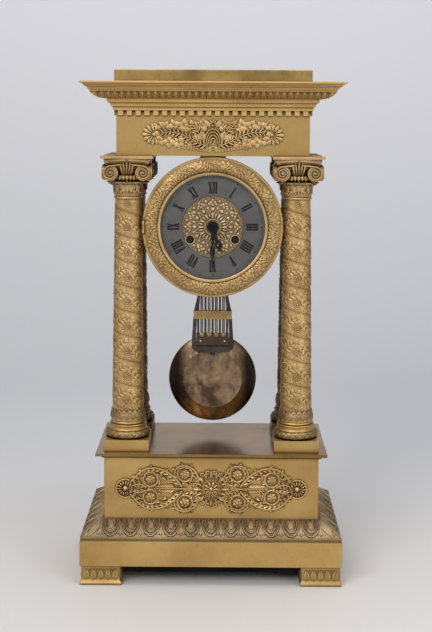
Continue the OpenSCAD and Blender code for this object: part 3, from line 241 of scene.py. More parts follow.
# light, dark and recess colour of each metal, and what differs from metalBase; the recess colour is painted shade,
# with some dirt, laid into hollows and joints
metalSet = {
    "gilt_plate": ((0.6, 0.405, 0.155), (0.44, 0.278, 0.1), (0.1, 0.06, 0.024),
                   {"rough": (0.4, 0.55), "cloud": 22, "speck": 0.16, "grain": 0.16}),
    # cornice and dentils: a brighter copy of the plate gilt, painted light standing in for light bounced up onto their
    # downward slopes
    "cornice_lit_gilt": ((0.72, 0.488, 0.2), (0.56, 0.358, 0.136), (0.03, 0.017, 0.007),
                     {"cloud": 22, "speck": 0.16, "crease": 3.0, "grain": 0.16, "open": (0.52, 0.99)}),
    "frieze_gilt": ((0.53, 0.356, 0.138), (0.39, 0.246, 0.09), (0.09, 0.054, 0.021),
                    {"rough": (0.4, 0.55), "cloud": 22, "speck": 0.16, "grain": 0.16}),
    # plinth: a painted line of shade along its top edge, at the level given
    "plinth_gilt": ((0.62, 0.42, 0.16), (0.46, 0.29, 0.104), (0.1, 0.06, 0.024),
                    {"rough": (0.44, 0.58), "cloud": 22, "speck": 0.16, "grain": 0.16, "topEdgeShade": 42.9}),
    "attic_gilt": ((0.4, 0.286, 0.112), (0.14, 0.098, 0.038), (0.06, 0.038, 0.018),
                   {"rough": (0.44, 0.6), "cloud": 26, "speck": 0.3, "grain": 0.16}),
    # feet: a darker, rougher copy of the plate gilt; the darkening is painted shade that dims the floor and lamps
    # reflected in their flare
    "foot_shaded_gilt": ((0.53, 0.365, 0.146), (0.38, 0.248, 0.096), (0.06, 0.036, 0.015),
                  {"rough": (0.54, 0.7), "cloud": 30, "speck": 0.3}),
    "gilt_chased": ((0.76, 0.525, 0.24), (0.54, 0.352, 0.145), (0.03, 0.016, 0.007),
                    {"rough": (0.44, 0.6), "crease": 3.6, "grain": 0.18, "open": (0.45, 0.97)}),
    # mount grounds: a dark copy of the gilt, painted shade for the gaps between the relief leaves
    "mount_shade_ground": ((0.34, 0.225, 0.09), (0.22, 0.14, 0.055), (0.022, 0.013, 0.006),
                     {"rough": (0.5, 0.66), "speck": 0.3, "crease": 3.6, "grain": 0.18}),
    "gilt_mount": ((0.59, 0.408, 0.192), (0.425, 0.28, 0.118), (0.06, 0.034, 0.015),
                   {"rough": (0.48, 0.64), "open": (0.45, 0.96)}),
    "frieze_relief": ((0.66, 0.46, 0.216), (0.5, 0.333, 0.145), (0.02, 0.011, 0.005),
                      {"rough": (0.48, 0.64), "crease": 3.2, "open": (0.46, 0.95)}),
    "gilt_shaft": ((0.64, 0.438, 0.205), (0.49, 0.318, 0.13), (0.055, 0.031, 0.014),
                   {"rough": (0.46, 0.62), "cloud": 40, "speck": 0.25, "crease": 1.8, "open": (0.55, 0.97)}),
    "capital_gilt": ((0.63, 0.436, 0.216), (0.45, 0.298, 0.134), (0.022, 0.013, 0.007),
                     {"rough": (0.46, 0.62), "cloud": 50, "speck": 0.3, "crease": 3.4, "open": (0.42, 0.96)}),
    # rear columns: a dark copy of the gilt, painted shade where the front columns, bezel and cornice shade them
    "rear_shaded_gilt": ((0.2, 0.135, 0.064), (0.105, 0.069, 0.033), (0.022, 0.014, 0.008),
                  {"cloud": 40, "speck": 0.3, "crease": 2.4}),
    "worn_gilt": ((0.4, 0.275, 0.13), (0.22, 0.145, 0.072), (0.035, 0.022, 0.012),
                  {"rough": (0.44, 0.62), "cloud": 70, "speck": 0.5, "crease": 2.4, "grain": 0.22,
                   "open": (0.45, 0.96)}),
    "worn_bronze": ((0.47, 0.348, 0.2), (0.3, 0.215, 0.122), (0.022, 0.015, 0.01),
                    {"rough": (0.5, 0.68), "cloud": 44, "speck": 0.4, "open": (0.48, 0.97)}),
    "deck_bronze": ((0.335, 0.206, 0.074), (0.205, 0.125, 0.046), (0.05, 0.035, 0.022),
                    {"rough": (0.16, 0.3), "cloud": 18, "crease": 4.0, "grain": 0.03}),
    "dial_gilt": ((0.96, 0.7, 0.4), (0.78, 0.54, 0.285), (0.024, 0.014, 0.007),
                  {"cloud": 70, "speck": 0.15, "crease": 2.8, "open": (0.5, 0.98)}),
    "dial_ground": ((0.54, 0.38, 0.2), (0.38, 0.255, 0.128), (0.03, 0.018, 0.009),
                    {"rough": (0.46, 0.62), "cloud": 70, "crease": 3.4, "open": (0.5, 0.98)}),
    "movement_brass": ((0.55, 0.4, 0.15), (0.44, 0.3, 0.1), (0.1, 0.06, 0.02),
                       {"rough": (0.24, 0.38), "cloud": 30, "speck": 0.15, "crease": 2.0, "grain": 0.05}),
    # front plate: the long crease reach and near-black recess paint the deep shade between the dial and the plate,
    # seen through the winding holes
    "plate_brass": ((0.5, 0.36, 0.13), (0.4, 0.27, 0.09), (0.004, 0.003, 0.002),
                    {"rough": (0.34, 0.48), "cloud": 30, "speck": 0.15, "crease": 16.0, "grain": 0.05}),
    "bell_metal": ((0.5, 0.36, 0.16), (0.36, 0.24, 0.1), (0.08, 0.05, 0.02),
                   {"rough": (0.16, 0.3), "cloud": 24, "crease": 2.0, "grain": 0.04}),
    "bright_steel": ((0.46, 0.46, 0.47), (0.3, 0.3, 0.31), (0.06, 0.055, 0.05),
                     {"rough": (0.22, 0.38), "cloud": 40, "crease": 2.0, "grain": 0.05}),
    # arbors: the long crease reach and near-black recess paint shade on them down the winding holes
    "arbor_steel": ((0.22, 0.19, 0.16), (0.12, 0.1, 0.085), (0.004, 0.004, 0.004),
                    {"rough": (0.34, 0.5), "crease": 9.0, "grain": 0.05}),
    "dark_steel": ((0.105, 0.088, 0.08), (0.046, 0.038, 0.036), (0.01, 0.008, 0.008),
                   {"rough": (0.34, 0.5), "crease": 1.5, "grain": 0.05}),
    "blued_steel": ((0.02, 0.02, 0.026), (0.009, 0.009, 0.012), (0.003, 0.003, 0.004),
                    {"rough": (0.34, 0.48), "cloud": 90, "speck": 0.1, "crease": 1.0, "grain": 0.03}),
}


def surface(shader, colour, rough, metallic, normal=None):
    feed(colour, shader, "Base Color")
    feed(rough, shader, "Roughness")
    feed(metallic, shader, "Metallic")
    if normal:
        feed(normal, shader, "Normal")


def metalFinish(name, light, dark, dirtAndShade, own):
    # patina clouds, dark specks, painted shade with some dirt in the hollows, and a fine cast grain
    look = {**metalBase, **own}
    material, shader, place = newMaterial(name)
    tone = place.noise(look["cloud"], 5.0).clamped(0.30, 0.70)
    speck = place.noise(look["speckScale"], 3.0)
    grain = place.noise(look["grainScale"], 2.0)
    # ambient occlusion lays painted shade, with some dirt, into hollows, creases and joints between parts
    hollowShade = place.make("ShaderNodeAmbientOcclusion", {"samples": 6}, {"Distance": look["crease"] * mm}, 1)
    unshaded = hollowShade.clamped(*look["open"])
    spots = speck.clamped(0.60, 0.72) * look["speck"]
    metal = tone.blend(dark, light)
    metal = unshaded.blend(dirtAndShade, spots.blend(metal, dirtAndShade))
    if "topEdgeShade" in look:
        # a painted line of shade along the top edge
        level = place.axis(2) / mm
        metal = (level.clamped(look["topEdgeShade"], look["topEdgeShade"] + 0.3) * 0.75).blend(metal, dirtAndShade)
    low, high = look["rough"]
    rough = high - (high - low) * tone * unshaded + spots * 0.1
    surface(shader, metal, rough, 1.0, (grain + 0.6 * speck).bump(look["grain"], 0.4))
    return material


finishes = {name: metalFinish(name, *row) for name, row in metalSet.items()}

# the bob's rim colour is painted shade, laid on the left and right sides of its rim
bobSet = {"light": (0.42, 0.290, 0.170), "dark": (0.095, 0.066, 0.047), "rim": (0.026, 0.019, 0.016),
          "smudge": (30.0, 8.0), "blotch": (150.0, 5.0), "streak": (22.0, 4.0), "drawn": (5.0, 5.0, 1.0),
          "sides": (0.12, 0.62), "rimStart": 0.60, "rimEnd": 0.80, "rimShade": 0.92}
barSet = {"rods": (0.31, 0.264, 0.196), "bar": (0.50, 0.340, 0.140), "foot": (0.105, 0.074, 0.056),
          "worn": (0.05, 0.036, 0.026), "footTop": 12.4, "barLow": 27.4, "barTop": 36.4, "edge": 0.1}
chapterSet = {"dark": (0.090, 0.081, 0.076), "light": (0.172, 0.156, 0.148), "ripple": 2600.0}
enamelSet = {"dark": (0.004, 0.004, 0.004), "light": (0.016, 0.015, 0.015), "shine": 0.15}
woodSet = {"dark": (0.003, 0.003, 0.003), "light": (0.011, 0.010, 0.010), "shine": 0.1}
glassSet = {"tint": (0.97, 0.98, 0.98), "rough": 0.02, "ior": 1.45, "gloss": 0.6}


def middleOf(name):
    low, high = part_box(name)
    return (low + high) / 2


dialZ = middleOf("bezel_glass").z


def roundCentre(place, level):
    # distance across, and distance from an axis that runs to the front
    lift = place.make("ShaderNodeMapping", {}, {0: place, 1: (0, 0, -level)})
    across, rise = lift.axis(0), lift.axis(2)
    return across, (across * across + rise * rise) ** 0.5


def bobFinish():
    # smudged bronze disc, with painted shade on the left and right sides of its rim
    look = bobSet
    material, shader, place = newMaterial("bob_bronze")
    middle = middleOf("pendulum_bob")
    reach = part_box("pendulum_bob")[1].x - middle.x
    across, radius = roundCentre(place, middle.z)
    smudge = place.noise(*look["smudge"], Roughness=0.62, Distortion=0.9)
    blotch = place.noise(*look["blotch"], Distortion=1.2)
    streak = place.make("ShaderNodeMapping", {}, {0: place, 3: look["drawn"]}).noise(*look["streak"])
    tone = (smudge * 0.62 + streak * 0.18 + blotch * 0.20).clamped(0.40, 0.60)
    # painted shade: the rim darkened towards the left and right sides of the disc
    side = (across * across / (reach * reach)).clamped(*look["sides"])
    shade = radius.clamped(look["rimStart"] * reach, look["rimEnd"] * reach) * side
    metal = (shade * look["rimShade"]).blend(tone.tint(look), look["rim"])
    surface(shader, metal, 0.48 - tone * 0.16, 1.0, streak.bump(0.08, 0.3))
    return material


def barFinish():
    # the pendulum's yellow rods: dull rods, a gilt bar across them and a dark bar at their feet
    look = barSet
    material, shader, place = newMaterial("pendulum_gilt")
    level = (place.axis(2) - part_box("pendulum_brass")[0].z) / mm
    cloud = place.noise(70.0, 4.0)

    def above(key):
        return level.clamped(look[key], look[key] + look["edge"])

    metal = (above("barLow") - above("barTop")).blend(look["rods"], look["bar"])
    metal = (1.0 - above("footTop")).blend(metal, look["foot"])
    worn = (cloud.clamped(0.35, 0.65) * 0.45).blend(metal, look["worn"])
    surface(shader, worn, 0.34 + cloud * 0.24, 1.0)
    return material


def chapterFinish():
    # dark grey ring, brushed in circles round the dial centre
    look = chapterSet
    material, shader, place = newMaterial("chapter_grey")
    radius = roundCentre(place, dialZ)[1]
    ripple = place.make("ShaderNodeTexNoise", {"noise_dimensions": "1D"},
                        {"W": radius, "Scale": look["ripple"], "Detail": 3.0})
    tone = (ripple * 0.55 + place.noise(55.0, 4.0) * 0.45).clamped(0.36, 0.64)
    surface(shader, tone.tint(look), 0.58 - tone * 0.14, 0.2, ripple.bump(0.15, 0.2))
    return material


def enamelFinish():
    look = enamelSet
    material, shader, place = newMaterial("numeral_black")
    cloud = place.noise(300.0, 3.0)
    surface(shader, cloud.clamped(0.3, 0.7).tint(look), 0.55 + cloud * 0.25, 0.0)
    feed(look["shine"], shader, "Specular IOR Level")
    return material


def woodFinish():
    look = woodSet
    material, shader, place = newMaterial("board_wood")
    grain = place.make("ShaderNodeMapping", {}, {0: place, 3: (6.0, 60.0, 60.0)}).noise(3.0, 6.0)
    tone = grain.clamped(0.35, 0.65)
    surface(shader, tone.tint(look), 0.85 - tone * 0.15, 0.0, grain.bump(0.3, 0.3))
    feed(look["shine"], shader, "Specular IOR Level")
    return material


def glassFinish():
    look = glassSet
    material, _, place = newMaterial("dial_glass")
    clear = place.make("ShaderNodeBsdfTransparent", {}, {0: rgba(look["tint"])})
    gloss = place.make("ShaderNodeBsdfGlossy", {}, {0: (1, 1, 1, 1), "Roughness": look["rough"]})
    edge = place.make("ShaderNodeFresnel", {}, {"IOR": look["ior"]})
    mixed = place.make("ShaderNodeMixShader", {}, {0: edge * look["gloss"], 1: clear, 2: gloss})
    feed(mixed, place.tree.nodes["Material Output"], "Surface")
    return material


finishes.update({"bob_bronze": bobFinish(), "pendulum_gilt": barFinish(), "chapter_grey": chapterFinish(),
                 "numeral_black": enamelFinish(), "board_wood": woodFinish(), "dial_glass": glassFinish()})

# the finish of each slot, and of the nodes that differ from their slot
slotFinish = {"gilt_bronze": "gilt_plate", "chapter_metal": "chapter_grey"}
nodeFinish = {"leaf_moulding": "worn_bronze", "pedestal_top": "deck_bronze", "going_arbor": "arbor_steel",
              "strike_arbor": "arbor_steel", "attic_block": "attic_gilt", "bracket_feet": "foot_shaded_gilt",
              "pedestal_mount": "mount_shade_ground", "frieze_mount": "mount_shade_ground", "front_plate": "plate_brass",
              "cornice": "cornice_lit_gilt", "dentil_course": "cornice_lit_gilt", "base_plinth": "plinth_gilt",
              "cannon_pinion": "blued_steel", "dial_plate": "dial_ground", "frieze_case": "frieze_gilt"}
columnFinish = {"shaft": "gilt_shaft", "capital": "capital_gilt"}
edgeWidth = {"bracket_feet": 0.35, "base_plinth": 0.4, "pedestal_case": 0.3, "pedestal_top": 0.25, "frieze_case": 0.3,
             "attic_block": 0.3, "dentil_course": 0.2, "cornice": 0.15, "leaf_moulding": 0.15, "pendulum_frame": 0.3,
             "pendulum_brass": 0.25, "bell_bracket": 0.2, "back_cock": 0.3, "hour_hand": 0.12, "minute_hand": 0.12,
             "front_plate": 0.2, "back_plate": 0.25, "drum_saddle": 0.3}
nodeSet = {"weld": 0.00002, "columnEdge": 0.2, "bevelAngle": 40, "splitAngle": 38}


def dressNodes():
    # every CAD node gets its finish, and the square-cut ones a fine worn edge
    for row in frame["record"]["subparts"]:
        name, slot = row["node"], row["material_slot"]
        part = nodes[name]
        kind = nodeFinish.get(name, slotFinish.get(slot, slot))
        if name.startswith("column_"):
            # rear column nodes take the dark copy of the gilt: painted shade
            kind = "rear_shaded_gilt" if "_rear_" in name else columnFinish.get(name.split("_")[1], kind)
        part.data.materials.clear()
        part.data.materials.append(finishes[kind])
        part.modifiers.new("weld", "WELD").merge_threshold = nodeSet["weld"]
        if name in edgeWidth or name.startswith("column_base"):
            edge = part.modifiers.new("edge", "BEVEL")
            edge.width = edgeWidth.get(name, nodeSet["columnEdge"]) * mm
            edge.segments = 2
            edge.limit_method = "ANGLE"
            edge.angle_limit = math.radians(nodeSet["bevelAngle"])
        part.modifiers.new("crisp", "EDGE_SPLIT").split_angle = math.radians(nodeSet["splitAngle"])


dressNodes()
print("finishes made, CAD nodes dressed")


# ornament parts, modelled flat in millimetres: X right, Y up, Z towards the viewer

def copyTo(piece, place):
    twin = piece.copy()
    twin.data = piece.data.copy()
    twin.data.transform(place)
    bpy.context.collection.objects.link(twin)
    return twin


def settle(piece, place):
    piece.data.transform(place)
    return piece


def spin(angle):
    return Matrix.Rotation(math.radians(angle), 4, "Z")


def polar(radius, angle, lift=0.0):
    return radius * math.cos(math.radians(angle)), radius * math.sin(math.radians(angle)), lift


def at(x, y, turn=0.0, size=1.0, flip=False, lift=0.0):
    return Matrix.Translation((x, y, lift)) @ spin(turn) @ Matrix.Diagonal((size, -size if flip else size, size, 1))


def upright(x, y, z):
    # stands a flat ornament up to look to the front
    return Matrix.Translation((x, y, z)) @ Matrix.Rotation(math.radians(90), 4, "X")


def onFace(name, level):
    # from flat millimetres to the front of a node
    return upright(0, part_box(name)[0].y, level) @ inMetres


def discard(*pieces):
    for piece in pieces:
        bpy.data.objects.remove(piece)


def joined(pieces, name):
    pick(pieces[0])
    for piece in pieces:
        piece.select_set(True)
    if len(pieces) > 1:
        bpy.ops.object.join()
    whole = bpy.context.object
    whole.name = whole.data.name = name
    return whole


def mirrored(bits, ways):
    out = [copyTo(bit, Matrix.Diagonal((*way, 1, 1))) for bit in bits for way in ways]
    discard(*bits)
    return out


def bendOver(piece, shape):
    for v in piece.data.vertices:
        v.co = shape(v.co)
    piece.data.update()
    return piece


def leafBlade(long, wide, high, lobes=0, vein=0.3, swell=0.75, cuts=(8, 4)):
    # a grid drawn out to a leaf, domed, veined and walled down to its ground
    blade = added(bpy.ops.mesh.primitive_grid_add, x_subdivisions=cuts[0], y_subdivisions=cuts[1], size=2)
    for v in blade.data.vertices:
        u, side = (v.co.x + 1) / 2, v.co.y
        edge = 0.10 + 0.90 * math.sin(math.pi * (0.03 + 0.95 * u ** swell)) ** 0.8
        if lobes:
            edge *= 0.80 + 0.20 * math.cos(2 * math.pi * lobes * u)
        crown = 0.38 + 0.62 * (1 - side * side) - vein * math.exp(-(side / 0.2) ** 2)
        body = 0.5 + 0.5 * math.sin(math.pi * min(1, 0.15 + 0.8 * u))
        v.co = (long * u, wide / 2 * side * edge, high * crown * body)
    bpy.ops.object.mode_set(mode="EDIT")
    bpy.ops.mesh.select_all(action="SELECT")
    bpy.ops.mesh.region_to_loop()
    bpy.ops.mesh.extrude_region_move(TRANSFORM_OT_translate={"value": (0, 0, -0.55 * high)})
    bpy.ops.mesh.edge_face_add()
    bpy.ops.mesh.select_all(action="SELECT")
    bpy.ops.mesh.normals_make_consistent(inside=False)
    bpy.ops.object.mode_set(mode="OBJECT")
    return blade


def button(radius, high, segments=12, rings=6):
    dome = added(bpy.ops.mesh.primitive_uv_sphere_add, segments=segments, ring_count=rings, radius=radius)
    bpy.ops.object.mode_set(mode="EDIT")
    bpy.ops.mesh.select_all(action="SELECT")
    bpy.ops.transform.resize(value=(1, 1, high / radius))
    bpy.ops.object.mode_set(mode="OBJECT")
    return dome


def hoop(radius, thick, segments=20, sides=6):
    return added(bpy.ops.mesh.primitive_torus_add, major_radius=radius, minor_radius=thick, major_segments=segments,
                 minor_segments=sides)


def stem(points, thick, thin=None):
    # a tapering round stem through the points
    path = added(bpy.ops.curve.primitive_nurbs_path_add)
    spline = path.data.splines[0]
    spline.points.add(len(points) - len(spline.points))
    last = len(points) - 1
    for i, (x, y, z) in enumerate(points):
        spline.points[i].co = (x, y, z, 1)
        spline.points[i].radius = 1 + ((thin or thick) / thick - 1) * i / last
    spline.order_u = 3
    spline.use_endpoint_u = True
    spline.resolution_u = 2
    path.data.bevel_depth = thick
    path.data.bevel_resolution = 1
    path.data.use_fill_caps = True
    pick(path)
    bpy.ops.object.convert(target="MESH")
    return bpy.context.object


def curl(start, end, fromAngle, toAngle, lift, count):
    # points of a spiral from one radius to another
    shares = [i / (count - 1) for i in range(count)]
    return [polar(start + (end - start) * f, fromAngle + (toAngle - fromAngle) * f, lift) for f in shares]


def smooth(points, per=5):
    # a rounder run of points through the given ones
    out = []
    last = len(points) - 1
    for i in range(last):
        p0, p1, p2, p3 = (Vector(points[max(0, min(last, i + d))]) for d in (-1, 0, 1, 2))
        for f in (k / per for k in range(per)):
            out.append(0.5 * (2 * p1 + (p2 - p0) * f + (2 * p0 - 5 * p1 + 4 * p2 - p3) * f * f
                              + (3 * p1 - p0 - 3 * p2 + p3) * f ** 3))
    out.append(Vector(points[-1]))
    return out


def sprig(points, thick, thin, leaf, step, spread, sizes, lift=0.9, sides=(1, -1)):
    # a stem with leaves along its sides
    run = [Vector((p[0], p[1])) for p in points]
    bits = [stem([(p.x, p.y, lift) for p in run], thick, thin)]
    total = sum((b - a).length for a, b in zip(run, run[1:]))
    passed, due = 0.0, step * 0.6
    for a, b in zip(run, run[1:]):
        part = b - a
        while due <= passed + part.length:
            p = a + part * ((due - passed) / part.length)
            heading = math.degrees(math.atan2(part.y, part.x))
            size = sizes[0] + (sizes[1] - sizes[0]) * due / total
            bits += [copyTo(leaf, at(p.x, p.y, heading + side * spread, size)) for side in sides]
            due += step
        passed += part.length
    return bits


def palmette(rays, spread, inner, long, wide, high):
    # leaves fanned about +X with open slots between them
    ray = leafBlade(long, wide, high, vein=0.2, swell=1.7, cuts=(7, 4))
    turns = [spread * (2 * k / (rays - 1) - 1) for k in range(rays)]
    bits = [copyTo(ray, at(0, 0, turn, 1 - 0.12 * abs(turn) / 90) @ at(inner, 0)) for turn in turns]
    discard(ray)
    return joined(bits + [button(inner * 0.95, high * 1.05, 14, 7)], "palmette")


def rosette(radius, petals, high, cuts=(4, 2)):
    petal = leafBlade(radius * 0.72, radius * 4.6 / petals, high, vein=0.25, swell=1.3, cuts=cuts)
    bits = [copyTo(petal, spin(360 * k / petals) @ at(radius * 0.26, 0)) for k in range(petals)]
    discard(petal)
    return joined(bits + [button(radius * 0.36, high * 1.1)], "rosette")


def finishPiece(bits, name, finish, place=inMetres, body="case", stands=(), sharp=50):
    piece = joined(bits, name)
    piece.data.transform(place)
    pick(piece)
    bpy.ops.object.mode_set(mode="EDIT")
    bpy.ops.mesh.select_all(action="SELECT")
    bpy.ops.mesh.normals_make_consistent(inside=False)
    bpy.ops.object.mode_set(mode="OBJECT")
    bpy.ops.object.shade_smooth_by_angle(angle=math.radians(sharp))
    piece.data.materials.clear()
    piece.data.materials.append(finishes[finish])
    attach(piece, body)
    if stands:
        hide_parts(*stands)


# pedestal mount: one quarter is laid out and mirrored, X and Y from the middle

pedestalMountSet = {
    "acanthus": (7.6, 4.8), "blade": (9.5, 4.6), "fan": (5.4, 2.2), "high": 2.7, "sun": 7.4, "sunPetals": 10,
    "rays": 8, "rayStart": 9.0, "between": (9.4, 0.75), "hook": (15.6, 3.7), "hookLeaf": (13.0, 2.2, 30, 0.75),
    "roundels": ((26.0, 14.2, 8.0), (60.0, 8.8, 7.8)),
    "fern": {"start": 35.5, "step": 2.7, "count": 7, "turn": 33, "size": 0.78, "shrink": 0.045},
    "spine": (24, 32, 40, 48, 57), "ends": 85.0, "endRing": 9.0,
    "scrolls": (
        (((29, 2), (33, 7.5), (39, 13.5), (47, 18.3), (57, 20.6), (66, 19), (72, 14.6), (77, 9.2), (80, 6)),
         (1.35, 1.0), 5.0, 40, (0.95, 0.8), (-1,)),
        (((11, 8), (14, 14), (18.5, 20), (26, 23), (33.5, 21), (36.5, 15), (35.5, 10)),
         (1.2, 0.9), 5.0, 44, (0.75, 0.65), (-1,)),
        (((64, 1.2), (68.5, 3.4), (73, 4.2), (78, 2.6)), (1.0, 0.8), 4.0, 46, (0.65, 0.6), (1, -1))),
    "tips": ((42, 16.4, 62), (57, 20.8, 30), (68, 18.4, -2), (75, 12.4, -16), (19, 20.4, 80), (27, 23, 40),
             (35, 19.6, 0)),
    "tipSize": 0.62,
    "leaves": ((17, 3.4, 12, 0.7), (18.5, 7.4, 40, 0.7), (22, 3.6, 20, 0.6), (44, 8.5, 35, 0.8), (48, 12.5, 55, 0.7),
               (50, 3.8, 35, 0.6), (70, 9.5, 20, 0.7), (66, 14, 0, 0.6)),
}


def roundel(radius, high):
    # a flower on a boss inside a ring
    return joined([rosette(radius * 0.68, 7, high * 1.15), button(radius * 0.62, high * 0.75, 20, 6),
                   hoop(radius * 0.92, radius * 0.15, 28, 8)], "roundel")


def makePedestalMount():
    look = pedestalMountSet
    high, sun, fern = look["high"], look["sun"], look["fern"]
    acanthus = leafBlade(*look["acanthus"], high * 0.9, vein=0.45, swell=0.85, cuts=(7, 4))
    blade = leafBlade(*look["blade"], high * 0.9, vein=0.4, swell=1.3)
    hook = stem(curl(2.5, 0.8, -60, 320, 1.0, 14), 0.85, 0.7)
    # sunflower in the middle, with leaves and curled hooks round it
    bits = [rosette(sun, look["sunPetals"], high * 1.2, cuts=(6, 4)), button(sun * 0.8, high * 0.8, 24, 6),
            hoop(sun + 1.6, 0.5, 32, 6)]
    (out, size), (hookX, hookY), (leafX, leafY, leafTurn, leafSize) = look["between"], look["hook"], look["hookLeaf"]
    for k in range(look["rays"]):
        ray, between = spin(360 * k / look["rays"]), spin(360 * (k + 0.5) / look["rays"])
        bits += [copyTo(blade, ray @ at(look["rayStart"], 0)), copyTo(blade, between @ at(out, 0, 0, size))]
        for side in (1, -1):
            bits.append(copyTo(hook, ray @ at(hookX, side * hookY, 0, 1.0, side < 0)))
            bits.append(copyTo(acanthus, ray @ at(leafX, side * leafY, side * leafTurn, leafSize)))
    quarter = []
    for x, y, r in look["roundels"]:
        quarter.append(settle(roundel(r, high), at(x, y)))
        quarter += [copyTo(acanthus, at(x, y, turn) @ at(r * 0.98, 0, 56, 0.6)) for turn in range(0, 360, 45)]
    # scrolls from the sun round the roundels to the ends, with leaf tips along the outer edge
    for line, (thick, thin), step, spread, sizes, sides in look["scrolls"]:
        quarter += sprig(smooth(line), thick, thin, acanthus, step, spread, sizes, sides=sides)
    quarter += [copyTo(acanthus, at(x, y, turn, look["tipSize"])) for x, y, turn in look["tips"]]
    quarter += [copyTo(acanthus, at(x, y, turn, size)) for x, y, turn, size in look["leaves"]]
    # fern along the middle line
    for i in range(fern["count"]):
        size = fern["size"] - fern["shrink"] * i
        quarter.append(copyTo(blade, at(fern["start"] + fern["step"] * i, 0.3, fern["turn"], size)))
    bits += mirrored(quarter, ((1, 1), (1, -1), (-1, 1), (-1, -1)))
    fan = palmette(11, 118, 3.2, *look["fan"], high * 1.15)
    rim = [Vector(polar(look["endRing"], a, 0.9)) + Vector((look["ends"], 0, 0)) for a in range(-120, 121, 10)]
    for turn in (spin(0), spin(180)):
        bits.append(copyTo(fan, turn @ at(look["ends"], 0)))
        bits.append(settle(stem([(x, 0, 1.1) for x in look["spine"]], 1.1, 0.6), turn))
        bits.append(settle(stem(rim, 0.95), turn))
    discard(acanthus, blade, hook, fan)
    place = onFace("pedestal_case", middleOf("pedestal_case").z)
    finishPiece(bits, "pedestal_mount_relief", "gilt_chased", place, stands=("pedestal_mount",))


# frieze mount: the right half is laid out and mirrored

friezeMountSet = {
    "acanthus": (8.0, 6.4), "slip": (4.4, 2.8), "plume": (7.0, 2.7), "crest": (4.2, 2.6), "fan": (9.4, 4.8),
    "high": 2.3, "ends": (58.0, 0.0), "arcs": 4, "arcStart": 2.2, "arcStep": 2.0, "arcTall": 1.5, "arcFoot": -6.6,
    "crestLevel": 9.2, "middle": 1.2, "lobes": (1.0, 0.8, 1.14, 0.92), "over": 0.9,
    "flowers": ((9.4, 12.0, 3.6), (18.4, 8.8, 4.8), (28.6, 9.6, 5.0), (38.0, 9.4, 4.8), (47.0, 8.2, 4.6),
                (23.0, -7.0, 4.8), (33.4, -7.4, 5.0), (43.4, -7.4, 4.8), (52.4, -5.6, 3.8), (27.8, 0.6, 3.8),
                (37.6, 0.8, 3.6), (46.4, 0.6, 3.6)),
    "leaves": ((8.8, -6.0, 72, 1.3), (11.6, -7.0, 52, 1.35), (13.8, -8.2, 32, 1.1), (12.0, 4.2, 80, 0.8),
               (20.6, 1.4, 162, 0.8), (31.6, 3.4, 66, 0.6), (31.0, -2.2, -62, 0.6), (41.4, 4.0, 62, 0.6),
               (41.0, -2.0, -60, 0.6), (22.6, 3.8, 40, 0.7), (51.6, 4.6, 46, 0.8), (49.8, -2.0, -20, 0.7),
               (14.6, 1.0, 26, 0.8), (3.4, 7.4, 62, 0.9), (18.8, -3.6, 12, 0.8), (9.6, 2.6, 110, 0.9),
               (52.0, 0.4, 8, 0.9), (55.0, 8.0, 40, 0.6)),
    "swag": ((0, -14.4), (9, -14.2), (18, -13.2), (26, -12.2), (33, -12.8)),
    "sprays": (((5, -11.4), (13, -8.6), (22, -4.0), (31, 0.2), (41, 2.4), (50, 2.0)),
               ((9, -6), (13, 0), (16, 5), (21, 10))),
}


def makeFriezeMount():
    look = friezeMountSet
    high = look["high"]
    bits = []
    # a shell of nested arcs in the middle under a small crest
    for k in range(look["arcs"]):
        arc = [polar(look["arcStart"] + look["arcStep"] * k, 90 - a, 1.6 - 0.1 * k) for a in range(-112, 113, 14)]
        bits.append(stem([(x, look["arcTall"] * y + look["arcFoot"], z) for x, y, z in arc], 0.85))
    bits.append(settle(palmette(7, 90, 1.6, *look["crest"], high), at(0, look["crestLevel"], 90)))
    acanthus = leafBlade(*look["acanthus"], high * 0.9, swell=0.9, cuts=(7, 4))
    slip = leafBlade(*look["slip"], high * 0.8, swell=0.9, cuts=(5, 2))
    plume = leafBlade(*look["plume"], high * 0.8, swell=0.9, cuts=(6, 4))
    half = sprig(smooth(look["swag"]), 0.6, 0.5, slip, 3.0, 36, (1.0, 0.8))
    # feathered sprays that rise from the middle, over the tufts
    for line in look["sprays"]:
        half += [settle(bit, at(0, 0, lift=look["over"]))
                 for bit in sprig(smooth(line), 0.8, 0.6, plume, 4.0, 46, (1.0, 0.75))]
    # tufts of leaves, each turned its own way
    for n, (x, y, r) in enumerate(look["flowers"]):
        half += [copyTo(acanthus, at(x, y, 52 * n + 90 * k, size * r / 5.6)) for k, size in enumerate(look["lobes"])]
        half.append(settle(button(r * 0.24, high, 8, 5), at(x, y)))
    half += [copyTo(acanthus, at(x, y, turn, size)) for x, y, turn, size in look["leaves"]]
    half.append(settle(palmette(9, 108, 2.6, *look["fan"], high), at(*look["ends"])))
    bits += mirrored(half, ((1, 1), (-1, 1)))
    discard(acanthus, slip, plume)
    place = onFace("frieze_case", middleOf("frieze_case").z + look["middle"] * mm)
    finishPiece(bits, "frieze_mount_relief", "frieze_relief", place, stands=("frieze_mount",))


makePedestalMount()
makeFriezeMount()
print("mounts modelled")


# column shafts: a vine that winds round the shaft between raised fillets

shaftSet = {"pitch": 24.5, "waves": 3, "middle": 14.2, "swing": 4.6, "fillet": 0.42, "flower": 3.9, "step": 4.6,
            "bottom": 15.4, "top": 13.0, "footBand": 7.4, "neckBand": 3.0, "stemStep": 2.4, "relief": 0.85,
            "leaf": (6.2, 3.3, 0.95), "sprays": ((40, 0.75), (140, 0.75), (-10, 0.65), (190, 0.65))}


